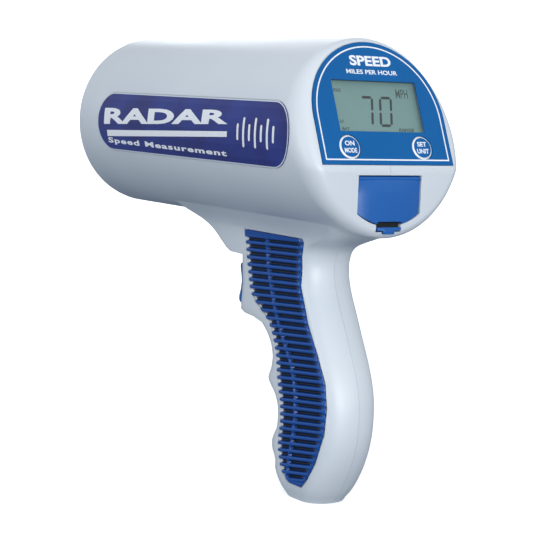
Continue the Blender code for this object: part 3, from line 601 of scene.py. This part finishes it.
def add_print(outlines, level=ink):
    piece = print_shape("print", outlines, PANEL, level, None)
    prints.append(piece.data)
    bpy.data.objects.remove(piece)


add_print([label_outline(1.8), label_outline(2.4)])
for words, height, width, spot, offset in (("SPEED", 4.6, 21.5, (0.4, 48.2), 0.22),
                                           ("MILES PER HOUR", 2.0, 26.5, (0.2, 43.2), 0.06)):
    mesh = lettering(words, height, offset, width=width)
    mesh.transform(PANEL @ Matrix.Translation((spot[0], spot[1], ink)))
    prints.append(mesh)
display_print = joined("display_print", prints, print_white)
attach(display_print, "housing")

# Each ring is a printed band with a bevel down to the label, of the same ink.
RING_PROFILE = ((4.42, 0.38), (4.52, 0.38), (5.1, -0.06))  # radius and level
RING_SIDES = 48
KEY_INK = 0.37

for word, side, upper, lower in (("mode", -1, "ON", "MODE"), ("select", 1, "SET", "UNIT")):
    key = nodes[f"{word}_key"]
    coat(key, overlay_blue)
    u, v = side * KEY_SPOT[0], KEY_SPOT[1]
    turns = [math.tau * i / RING_SIDES for i in range(RING_SIDES)]
    levels = [[PANEL @ Vector((u + r * math.cos(a), v + r * math.sin(a), w)) for a in turns] for r, w in RING_PROFILE]
    rings = [mesh_object("ring", [p for level in levels for p in level], bands(levels))]
    for words, height, width, drop in ((upper, 2.1, 4.8, 1.6), (lower, 2.1, 6.2, -1.5)):
        mesh = lettering(words, height, 0.08, width=width)
        mesh.transform(PANEL @ Matrix.Translation((u, v + drop, KEY_INK)))
        rings.append(add_object("print", mesh))
    key_print = joined(f"{word}_key_print", [ring.data for ring in rings], print_white)
    for ring in rings:
        bpy.data.objects.remove(ring)
    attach(key_print, f"{word}_key")


# Liquid crystal display: a reflective grey-green glass sandwich behind a clear acrylic window.
# Lit segments look nearly black, and the small unlit words only a shade darker than the ground.

lcd_glass, tree, shader = surface("reflective_lcd", Roughness=0.35, IOR=1.52)
mottled(tree, shader, 60.0, 2.0, "668a87", "71938f")
panel = nodes["lcd_panel"]
coat(panel, lcd_glass)

window_clear, _, _ = surface("clear_acrylic", Base_Color=from_hex("f0f6f4"), Roughness=0.08, IOR=1.49, Alpha=0.03)
window = nodes["lcd_window"]
coat(window, window_clear)

SEGMENT_TOP = -2.2 + 0.03  # just over the glass
SLANT = 0.19  # sideways lean of the digits for each millimetre up
segment_ink, _, _ = surface("lcd_segment_dark", Base_Color=from_hex("121c1c"), Roughness=0.4)
segment_faint, _, _ = surface("lcd_segment_faint", Base_Color=from_hex("36504f"), Roughness=0.4)


def segment(start, end, half=0.6):
    """A six-sided bar between two points."""
    start, end = Vector(start), Vector(end)
    along = (end - start).normalized()
    side = Vector((-along.y, along.x))
    return [start, start + along * half + side * half, end - along * half + side * half, end,
            end - along * half - side * half, start + along * half - side * half]


def digit(lit, left, low, width, height):
    gap = 0.22
    mid = low + height / 2
    right, top = left + width, low + height
    spots = {"a": ((left + gap, top), (right - gap, top)), "b": ((right, top - gap), (right, mid + gap)),
             "c": ((right, mid - gap), (right, low + gap)), "d": ((left + gap, low), (right - gap, low)),
             "e": ((left, mid - gap), (left, low + gap)), "f": ((left, top - gap), (left, mid + gap)),
             "g": ((left + gap, mid), (right - gap, mid))}
    shapes = []
    for name in lit:
        outline = segment(*spots[name])
        shapes.append([(p.x + (p.y - mid) * SLANT, p.y) for p in outline])
    return shapes


digits = digit("abc", -7.4, 20.4, 5.6, 12.4) + digit("abcdef", 2.5, 20.4, 5.6, 12.4)
segments = print_shape("lcd_digits", digits, PANEL, SEGMENT_TOP, segment_ink)
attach(segments, "housing")
faint = []
for words, height, spot, width in (("MPH", 4.0, (15.6, 34.9), 6.8), ("HOLD", 1.5, (-18.3, 35.6), 4.6),
                                   ("LO", 1.4, (-18.6, 21.9), 2.0), ("BAT", 1.4, (-17.2, 18.6), 3.8),
                                   ("RANGE", 1.6, (14.4, 18.6), 8.2)):
    mesh = lettering(words, height, 0.08, width=width, shear=0.15)
    mesh.transform(PANEL @ Matrix.Translation((*spot, SEGMENT_TOP)))
    faint.append(mesh)
words_faint = joined("lcd_words", faint, segment_faint)
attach(words_faint, "housing")


# Battery door: crowned cap moulded in blue ABS, with its hinge barrel along the top edge and the latch
# below: a spring tongue coloured near black as painted shade of the deep notch, with a thumb bar of the door's blue.

door_blue, tree, shader = surface("abs_blue_satin", Roughness=0.24, IOR=1.54)
mottled(tree, shader, 45.0, 3.0, "1559a6", "1f64b0")
grained(tree, shader, 1500.0, 2.0, 0.1)

CROWN = 1.5
CROWN_FADE = 6.0  # the crown rises from nothing at the hinge over this height


def eased_edges(obj, width, segments):
    """Rounds a moulding's sharp edges by a width in millimetres."""
    edge = obj.modifiers.new("edge", "BEVEL")
    edge.width, edge.segments = width * MM, segments
    edge.limit_method, edge.angle_limit = "ANGLE", math.radians(50)
    applied(obj)


door = prism("door_cap", REAR, door_outline(-0.05), -2.4, -0.5)
work = bmesh.new()
work.from_mesh(door.data)
for spot, across_cut in ([((step, 0, 0), (0, 1, 0)) for step in range(-15, 16)]
                         + [((0, HINGE_SPOT[1] - step, 0), (0, 0, 1)) for step in range(7)]):
    whole_door = work.verts[:] + work.edges[:] + work.faces[:]
    bmesh.ops.bisect_plane(work, geom=whole_door, plane_co=REAR @ Vector(spot), plane_no=across_cut)
inverse = REAR.inverted()
for vertex in work.verts:
    spot = inverse @ vertex.co
    if spot.z > -1.5:
        rise = min(1.0, max(0.0, (HINGE_SPOT[1] - spot.y) / CROWN_FADE)) ** 0.6
        spot.z += CROWN * (1 - abs(spot.x / DOOR_HALF_WIDTH) ** 2.6) * rise - 0.05
        vertex.co = REAR @ spot
work.to_mesh(door.data)
work.free()
combine(door, box_shape("latch_cut", REAR, (-6.3, -60, -9), (6.3, -34.0, 9)), "DIFFERENCE")
combine(door, box_shape("hinge_cut", REAR, (-20, HINGE_SPOT[1], -9), (20, 0, 9)), "DIFFERENCE")
combine(door, prism("hinge_barrel", SIDE, circle(1.1, HINGE_SPOT, 32), -15.9, 15.9), "UNION")
combine(door, prism("hinge_pins", SIDE, circle(0.8, HINGE_SPOT, 24), -18.2, 18.2), "UNION")
eased_edges(door, 0.35, 3)
door.name = "battery_door_cap"
coat(door, door_blue)
smooth(door, 40)
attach(door, "battery_door")
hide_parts("battery_door")
# The tongue's near-black colour is painted shade. It stands for the dark inside the deep latch notch.
painted_shade_black, _, _ = surface("painted_shade_black_tongue", Base_Color=from_hex("050507"), Roughness=0.6)
bar = prism("bar", REAR, rounded(6.1, 0.75, 0.3, (0.3, -37.15), 3), -4.2, 0.5)
combine(bar, prism("tab", REAR, rounded(2.8, 1.1, 0.4, (0, -38.2), 3), -0.6, 0.75), "UNION")
eased_edges(bar, 0.2, 2)
tongue = prism("tongue", SIDE, [(2.8, -32.9), (6.4, -32.9), (6.4, -36.4), (4.0, -37.6), (1.4, -36.6), (1.4, -34.6),
                                (2.8, -34.5)], -6.3, 6.3)
bar.name, tongue.name = "latch_bar", "latch_tongue"
for piece, material in ((bar, door_blue), (tongue, painted_shade_black)):
    coat(piece, material)
    smooth(piece, 40)
    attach(piece, "door_latch")
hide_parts("door_latch")


# Grip panels: hard glossy blue mouldings let into the handle's sides. Each has a plain band at the top,
# thirty-odd rounded ribs, a fine spine across them, and grooves that run out towards the rear edge.

RIB_PITCH = 3.3
RIB_TOP = -48.6
RIB_MIDDLE = 66.0
RIB_LEAN, LEAN_GROWTH = 0.04, 0.0012  # slope of the top rib, and how much it grows with each millimetre down
PANEL_TOP, PANEL_HEIGHT = -45.5, 108.3
PROUD = 0.75
SPINE = [(-49.8, 71.3), (-61.2, 69.6), (-70.8, 66.1), (-81.3, 61.8), (-92.3, 54.7), (-100.3, 48.8), (-110.6, 44.9),
         (-120.3, 43.8), (-130.4, 44.5), (-140.9, 46.7), (-152.9, 48.5)]


def skin_y(x, z):
    """Half-width of the handle's surface at a point of its side."""
    back, front, half = read(BACK_OUTLINE, z), read(FRONT_OUTLINE, z), read(HALF_WIDTH, z)
    over = max(0.0, (x - (front - FRONT_ROUND)) / FRONT_ROUND, ((back + BACK_ROUND) - x) / BACK_ROUND)
    return half * math.sqrt(max(0.0, 1 - min(over, 0.98) ** 2))


def smoothstep(low, high, value):
    t = min(1.0, max(0.0, (value - low) / (high - low)))
    return t * t * (3 - 2 * t)


def rib_phase(x, z):
    """How many ribs below the plain band a point lies. The ribs rise to the rear, the lower ones more."""
    lean = RIB_LEAN + LEAN_GROWTH * (RIB_TOP - z)
    return (RIB_TOP - z + lean * (RIB_MIDDLE - x)) / RIB_PITCH


def grip_sheet(name, side):
    """The panel's face before its grooves are cut, with how deep each point may be cut."""
    rows, columns = 401, 56
    points, deep, outward = [], [], []
    for i in range(rows):
        z = PANEL_TOP - PANEL_HEIGHT * i / (rows - 1)
        phase = rib_phase(eased(GRIP_FRONT, z), z)
        ridge = 0.5 - 0.5 * math.cos(math.tau * phase) if phase > 0 else 1.0
        front = eased(GRIP_FRONT, z) - (0.6 * (1 - ridge) ** 1.5 if phase > 0 else 0.0)
        back = eased(GRIP_BACK, z) + 0.35
        if i < 10:
            back += 1.4 * (1 - i / 10) ** 2
            front -= 1.2 * (1 - i / 10) ** 2
        if i > rows - 14:
            back += 0.8 * ((i - rows + 14) / 13) ** 2
            front -= 3.0 * ((i - rows + 14) / 13) ** 2
        for j in range(columns):
            t = j / (columns - 1)
            x = front + (back - front) * t
            edge = min(1.0, (front - x) / 1.4) if t < 0.5 else 1.0
            rim = min(1.0, (x - back) / 0.7) if t > 0.5 else 1.0
            rounding = math.sqrt(max(0.0, 1 - (1 - edge) ** 2)) * math.sqrt(max(0.0, 1 - (1 - rim) ** 2))
            lift = PROUD * rounding - 0.15
            y = skin_y(x, z) + lift
            points.append(at(x, side * y, z))
            spine = smoothstep(1.0, 0.4, abs(x - eased(SPINE, z)))
            border = 0.55 * smoothstep(6.0, 0.8, x - back) + 0.45 * smoothstep(0.8, 0.2, x - back)
            ends = smoothstep(-152.8, -151.6, z) * smoothstep(-0.3, -0.05, rib_phase(x, z))
            deep.append(ends * (1 - 0.9 * spine) * (1 - border))
    faces = []
    for i in range(rows - 1):
        for j in range(columns - 1):
            a = i * columns + j
            face = (a, a + 1, a + columns + 1, a + columns)
            faces.append(face if side < 0 else face[::-1])
    mesh = bpy.data.meshes.new(name)
    mesh.from_pydata(points, [], faces)
    mesh.attributes.new("cut_depth", "FLOAT", "POINT").data.foreach_set("value", deep)
    return add_object(name, mesh)


def open_tree(name, sizes):
    """A Geometry Nodes tree with a named input for each size, and its input node."""
    tree = bpy.data.node_groups.new(name, "GeometryNodeTree")
    face = tree.interface
    face.new_socket("Geometry", in_out="INPUT", socket_type="NodeSocketGeometry")
    for label, value in sizes.items():
        kind = "NodeSocketVector" if isinstance(value, tuple) else "NodeSocketFloat"
        face.new_socket(label, in_out="INPUT", socket_type=kind).default_value = value
    face.new_socket("Geometry", in_out="OUTPUT", socket_type="NodeSocketGeometry")
    return tree, new_node(tree, "NodeGroupInput")


def close_tree(tree, geometry, material):
    """Ends a tree with real geometry in one material."""
    real = new_node(tree, "GeometryNodeRealizeInstances", inputs={0: geometry})
    paint = new_node(tree, "GeometryNodeSetMaterial", inputs={"Geometry": real.outputs[0], "Material": material})
    new_node(tree, "NodeGroupOutput", inputs={0: paint.outputs[0]})
    return tree


def groove_tree(material):
    """Cuts the grooves into a sheet. Pitch, place of the first, depth and side are inputs."""
    tree, start = open_tree("rib_grooves", {"Pitch": RIB_PITCH * MM, "Start": (RIB_TOP + AXIS_HEIGHT) * MM,
                                            "Depth": 1.55 * MM, "Side": 1.0})
    place = new_node(tree, "GeometryNodeInputPosition")
    split = new_node(tree, "ShaderNodeSeparateXYZ", inputs={0: place.outputs[0]})
    drop = new_node(tree, "ShaderNodeMath", {"operation": "SUBTRACT"},
                    {0: start.outputs["Start"], 1: split.outputs["Z"]})
    lean = new_node(tree, "ShaderNodeMath", {"operation": "MULTIPLY_ADD"},
                    {0: drop.outputs[0], 1: LEAN_GROWTH / MM, 2: RIB_LEAN})
    back = new_node(tree, "ShaderNodeMath", {"operation": "SUBTRACT"},
                    {0: (RIB_MIDDLE - BASE_CENTRE_X) * MM, 1: split.outputs["X"]})
    level = new_node(tree, "ShaderNodeMath", {"operation": "MULTIPLY_ADD"},
                     {0: lean.outputs[0], 1: back.outputs[0], 2: drop.outputs[0]})
    phase = new_node(tree, "ShaderNodeMath", {"operation": "DIVIDE"}, {0: level.outputs[0], 1: start.outputs["Pitch"]})
    turn = new_node(tree, "ShaderNodeMath", {"operation": "MULTIPLY"}, {0: phase.outputs[0], 1: math.tau})
    wave = new_node(tree, "ShaderNodeMath", {"operation": "COSINE"}, {0: turn.outputs[0]})
    groove = new_node(tree, "ShaderNodeMapRange", {"interpolation_type": "SMOOTHSTEP"},
                      {0: wave.outputs[0], 1: -0.8, 2: 1.0, 3: 0.0, 4: 1.0})
    allowed = new_node(tree, "GeometryNodeInputNamedAttribute", {"data_type": "FLOAT"}, {"Name": "cut_depth"})
    share = new_node(tree, "ShaderNodeMath", {"operation": "MULTIPLY"},
                     {0: groove.outputs[0], 1: allowed.outputs["Attribute"]})
    cut = new_node(tree, "ShaderNodeMath", {"operation": "MULTIPLY"}, {0: share.outputs[0], 1: start.outputs["Depth"]})
    inward = new_node(tree, "ShaderNodeMath", {"operation": "MULTIPLY"}, {0: cut.outputs[0], 1: start.outputs["Side"]})
    move = new_node(tree, "ShaderNodeCombineXYZ", inputs={1: inward.outputs[0]})
    store = new_node(tree, "GeometryNodeStoreNamedAttribute", {"data_type": "FLOAT", "domain": "POINT"},
                     {"Geometry": start.outputs[0], "Name": "groove", "Value": share.outputs[0]})
    shift = new_node(tree, "GeometryNodeSetPosition", inputs={"Geometry": store.outputs[0], "Offset": move.outputs[0]})
    return close_tree(tree, shift.outputs[0], material)


def run_tree(obj, tree, **values):
    """Adds a tree with its inputs set by name, and bakes the result into the object's mesh."""
    modifier = obj.modifiers.new("tree", "NODES")
    modifier.node_group = tree
    for item in tree.interface.items_tree:
        if item.in_out == "INPUT" and item.name in values:
            modifier[item.identifier] = values[item.name]
    return applied(obj)


def grip_material():
    """ABS moulded in a polished tool: a hard gloss, with painted shade where the grooves keep the light out."""
    made, tree, shader = surface("abs_blue_gloss", Roughness=0.18, IOR=1.54)
    place = new_node(tree, "ShaderNodeTexCoord").outputs["Object"]
    cut = new_node(tree, "ShaderNodeAttribute", {"attribute_name": "groove"})
    ramp = new_node(tree, "ShaderNodeValToRGB", inputs={"Fac": cut.outputs["Fac"]})
    ridge_end, groove_shade = ramp.color_ramp.elements
    # The groove end of the ramp is painted shade: near-black navy where the grooves are deepest.
    ridge_end.color, groove_shade.color = from_hex("0e4c9c"), from_hex("00061f")
    ridge_end.position, groove_shade.position = 0.3, 0.9
    tree.links.new(ramp.outputs["Color"], shader.inputs["Base Color"])
    wear = new_node(tree, "ShaderNodeTexNoise", inputs={"Vector": place, "Scale": 120.0, "Detail": 3.0})
    ridge = new_node(tree, "ShaderNodeMapRange", inputs={0: wear.outputs["Fac"], 1: 0.3, 2: 0.7, 3: 0.14, 4: 0.22})
    rough = new_node(tree, "ShaderNodeMapRange", inputs={
        0: cut.outputs["Fac"], 1: 0.5, 2: 0.9, 3: ridge.outputs[0], 4: 0.32})
    tree.links.new(rough.outputs[0], shader.inputs["Roughness"])
    return made


grip_blue = grip_material()
grooves = groove_tree(grip_blue)
for word, side in (("left", 1), ("right", -1)):
    grip = run_tree(grip_sheet(f"grip_moulding_{word}", side), grooves, Side=float(-side))
    wall = grip.modifiers.new("wall", "SOLIDIFY")
    wall.thickness, wall.offset = 0.8 * MM, -1.0
    applied(grip)
    smooth(grip, 55)
    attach(grip, "housing")
    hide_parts(f"grip_panel_{word}")


# Trigger: blade moulded in the battery door's blue ABS. It slides rearwards in the slot at the front of
# the handle, against a spring.

trigger = nodes["trigger"]
coat(trigger, door_blue)


# Trigger spring: compression coil of zinc-plated music wire, drawn and then wound. It sits between a wall
# inside the handle and the back of the trigger. The real one shortens as the trigger goes in; this one is
# baked at one length and held by the housing.

SPRING_SPOT = (71.1, 0, -76.5)

spring_steel, tree, shader = surface("zinc_plated_wire", Base_Color=from_hex("bfc2c6"), Metallic=1.0, Roughness=0.3)
place = new_node(tree, "ShaderNodeTexCoord").outputs["Object"]
drawn = new_node(tree, "ShaderNodeTexNoise", inputs={"Vector": place, "Scale": 1200.0, "Detail": 2.0})
rough = new_node(tree, "ShaderNodeMapRange", inputs={0: drawn.outputs["Fac"], 1: 0.3, 2: 0.7, 3: 0.24, 4: 0.38})
tree.links.new(rough.outputs[0], shader.inputs["Roughness"])


def coil_tree(material):
    """A coil spring along world X from its fixed end."""
    tree, start = open_tree("coil_spring", {"Turns": 5.0, "Coil radius": 3.2 * MM, "Length": 14.6 * MM,
                                            "Wire radius": 0.35 * MM, "Place": (0.0, 0.0, 0.0)})
    coil = new_node(tree, "GeometryNodeCurveSpiral", inputs={
        "Resolution": 28, "Rotations": start.outputs["Turns"], "Start Radius": start.outputs["Coil radius"],
        "End Radius": start.outputs["Coil radius"], "Height": start.outputs["Length"]})
    wire = new_node(tree, "GeometryNodeCurvePrimitiveCircle", inputs={
        "Resolution": 12, "Radius": start.outputs["Wire radius"]})
    swept = new_node(tree, "GeometryNodeCurveToMesh", inputs={
        "Curve": coil.outputs[0], "Profile Curve": wire.outputs[0], "Fill Caps": True})
    put = new_node(tree, "GeometryNodeTransform", inputs={
        "Geometry": swept.outputs[0], "Translation": start.outputs["Place"], "Rotation": (0.0, math.pi / 2, 0.0)})
    return close_tree(tree, put.outputs[0], material)


spring = run_tree(add_object("trigger_coil", bpy.data.meshes.new("trigger_coil")), coil_tree(spring_steel),
                  Place=tuple(at(*SPRING_SPOT)))
spring.data.shade_smooth()
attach(spring, "housing")
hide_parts("trigger_spring")
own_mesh(spring)


# Housing screws: six zinc-plated steel pan heads with a cross recess, cold headed. They are driven from
# the right into the bosses of the left half, and sit deep in their holes.

def screw_tree(master, material):
    """A copy of the master screw at each point, pointing to the gun's right."""
    tree, start = open_tree("screws_on_points", {"Size": 1.0})
    shape = new_node(tree, "GeometryNodeObjectInfo", inputs={"Object": master})
    turn = new_node(tree, "FunctionNodeRandomValue", {"data_type": "FLOAT"}, {2: 0.0, 3: math.pi, "Seed": 4})
    angles = new_node(tree, "ShaderNodeCombineXYZ", inputs={0: math.pi / 2, 1: turn.outputs[1]})
    placed = new_node(tree, "GeometryNodeInstanceOnPoints", inputs={
        "Points": start.outputs[0], "Instance": shape.outputs["Geometry"], "Rotation": angles.outputs[0],
        "Scale": start.outputs["Size"]})
    return close_tree(tree, placed.outputs[0], material)


# Radius and height from the shank's cut end to the top of the head.
profile = [(1.5, -3.0), (1.5, 0.0), (2.9, 0.0), (2.9, 0.9), (2.5, 1.6), (1.7, 2.05), (0.6, 2.2)]
head_rings = [[Vector((r * math.cos(a), r * math.sin(a), h)) * MM for a in (math.tau * i / 40 for i in range(40))]
              for r, h in profile]
screw_master = loft("screw_master", head_rings)
for turn in (0, 90):
    slot = rounded(1.7, 0.32, 0.15, steps=2)
    if turn:
        slot = [(-v, u) for u, v in slot]
    combine(screw_master, prism("cross", Matrix.Diagonal((MM, MM, MM, 1)), slot, 0.9, 3.0), "DIFFERENCE")
seats = bpy.data.meshes.new("screw_seats")
seats.from_pydata([at(x, -(head + GAP), z) for x, z, head in SCREWS], [], [])
screws = run_tree(add_object("housing_screws", seats), screw_tree(screw_master, spring_steel))
bpy.data.objects.remove(screw_master)
smooth(screws, 35)
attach(screws, "housing")
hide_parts(*[f"housing_screw_{n}" for n in range(1, 7)])


# Side labels: vinyl film, screen printed in navy and white, die cut with a clear rim and stuck in a
# shallow recess round each side of the barrel.

label_navy, tree, shader = surface("printed_vinyl_navy", Roughness=0.28, IOR=1.5)
mottled(tree, shader, 55.0, 4.0, "23286f", "26398c", (0.35, 0.7))
clear_rim, _, _ = surface("clear_vinyl_edge", Base_Color=from_hex("cfd8e2"), Roughness=0.2)

LABEL_SKIN = BARREL_R + 0.22


def wrapped(mesh, side, skin=LABEL_SKIN + 0.03):
    """Bends a flat print round the barrel. Its points are (distance from the front end, height)."""
    work = bmesh.new()
    work.from_mesh(mesh)
    for step in range(-14, 15):
        whole_print = work.verts[:] + work.edges[:] + work.faces[:]
        bmesh.ops.bisect_plane(work, geom=whole_print, plane_co=(0, step, 0), plane_no=(0, 1, 0))
    for vertex in work.verts:
        s, z, thick = vertex.co
        radius = skin + thick
        x = LABEL_FRONT - s if side > 0 else LABEL_REAR + s
        vertex.co = at(x, side * math.sqrt(radius * radius - z * z), z)
    bmesh.ops.recalc_face_normals(work, faces=work.faces)
    work.to_mesh(mesh)
    work.free()
    return mesh


def flat_mesh(outlines, thick=0.02):
    piece = print_shape("flat", outlines, Matrix.Identity(4), 0.0, None, thick)
    mesh = piece.data
    bpy.data.objects.remove(piece)
    return mesh


def warped(mesh, bottom, top, start, end):
    """Fits a centred text between two slanting lines, given at its start and end."""
    spots = [v.co.copy() for v in mesh.vertices]
    low = min(p.x for p in spots), min(p.y for p in spots)
    high = max(p.x for p in spots), max(p.y for p in spots)
    for vertex, spot in zip(mesh.vertices, spots):
        t = (spot.x - low[0]) / (high[0] - low[0])
        h = (spot.y - low[1]) / (high[1] - low[1])
        floor_z = bottom[0] + (bottom[1] - bottom[0]) * t
        top_z = top[0] + (top[1] - top[0]) * t
        vertex.co = (start + (end - start) * t, floor_z + (top_z - floor_z) * h, spot.z)
    return mesh


for word, side in (("left", 1), ("right", -1)):
    label = nodes[f"side_label_{word}"]
    coat(label, label_navy)
    words = warped(lettering("RADAR", 8.0, 0.45), (-1.6, 2.9), (6.3, 9.0), 6.8, 121.8)
    small = lettering("Speed Measurement", 2.6, 0.12, spacing=1.15)
    small = warped(small, (-11.2, -11.8), (-7.8, -8.6), 10.0, 120.0)
    bar = [(9.8, -7.4), (121.5, -2.6), (121.5, -0.2), (9.8, -4.4)]
    white = [words, small, flat_mesh([bar])]
    white += [flat_mesh([rounded(0.75, 6.4 if n % 2 else 3.6, 0.7, (130.0 + 4.6 * n, 0.0), 4)]) for n in range(7)]
    side_print = joined(f"side_print_{word}", [wrapped(mesh, side) for mesh in white], print_white)
    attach(side_print, "housing")
    rim = flat_mesh([[(x - LABEL_REAR, z) for x, z in side_label_outline(grow)] for grow in (0.0, -0.55)])
    rim_piece = joined(f"side_label_rim_{word}", [wrapped(rim, side, LABEL_SKIN + 0.01)], clear_rim)
    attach(rim_piece, "housing")


# Inner pieces: the turned horn, the cast microwave module, boards with their parts, cells in their tray,
# switches, springs and leads. They keep the frame's shapes and get the finish of the real ones.

UNEVENNESS = 0.06


def simple(name, code, rough, metallic=0.0, scale=400.0):
    """A plain finish with a slight change of roughness over it."""
    made, tree, shader = surface(name, Base_Color=from_hex(code), Roughness=rough, Metallic=metallic)
    grained(tree, shader, scale, 3.0, 0.1)
    place = new_node(tree, "ShaderNodeTexCoord").outputs["Object"]
    noise = new_node(tree, "ShaderNodeTexNoise", inputs={"Vector": place, "Scale": scale, "Detail": 3.0})
    span = new_node(tree, "ShaderNodeMapRange", inputs={
        0: noise.outputs["Fac"], 1: 0.3, 2: 0.7, 3: rough - UNEVENNESS, 4: rough + UNEVENNESS})
    tree.links.new(span.outputs[0], shader.inputs["Roughness"])
    return made


finishes = {
    simple("zinc_plated_steel", "b9bcc0", 0.3, 1.0): ["mode_switch", "select_switch", "door_contact",
                                                     "contact_spring_left", "contact_spring_right",
                                                     "trigger_switch_plunger"],
    simple("turned_aluminium", "c4c6ca", 0.28, 1.0): ["horn_antenna"],
    simple("cast_zinc", "8f9298", 0.45, 1.0, 250.0): ["microwave_module"],
    simple("solder_mask_green", "0d5a34", 0.35): ["main_board", "display_board"],
    simple("black_nylon", "17181a", 0.5): ["processor_chip", "signal_chip", "lcd_holder", "mode_switch_plunger",
                                          "select_switch_plunger", "battery_tray", "trigger_switch"],
    simple("capacitor_sleeve", "1b2450", 0.3): ["power_capacitor"],
    simple("conductive_rubber", "b06a72", 0.6): ["zebra_strip_lower", "zebra_strip_upper"],
    simple("cell_sleeve", "b68a34", 0.32): ["cell_1", "cell_2", "cell_3", "cell_4"],
    simple("pvc_black", "121212", 0.45): ["trigger_lead", "module_lead", "display_lead"],
    simple("pvc_red", "9c1a1a", 0.45): ["battery_lead"],
}
for material, names in finishes.items():
    for name in names:
        coat(nodes[name], material)
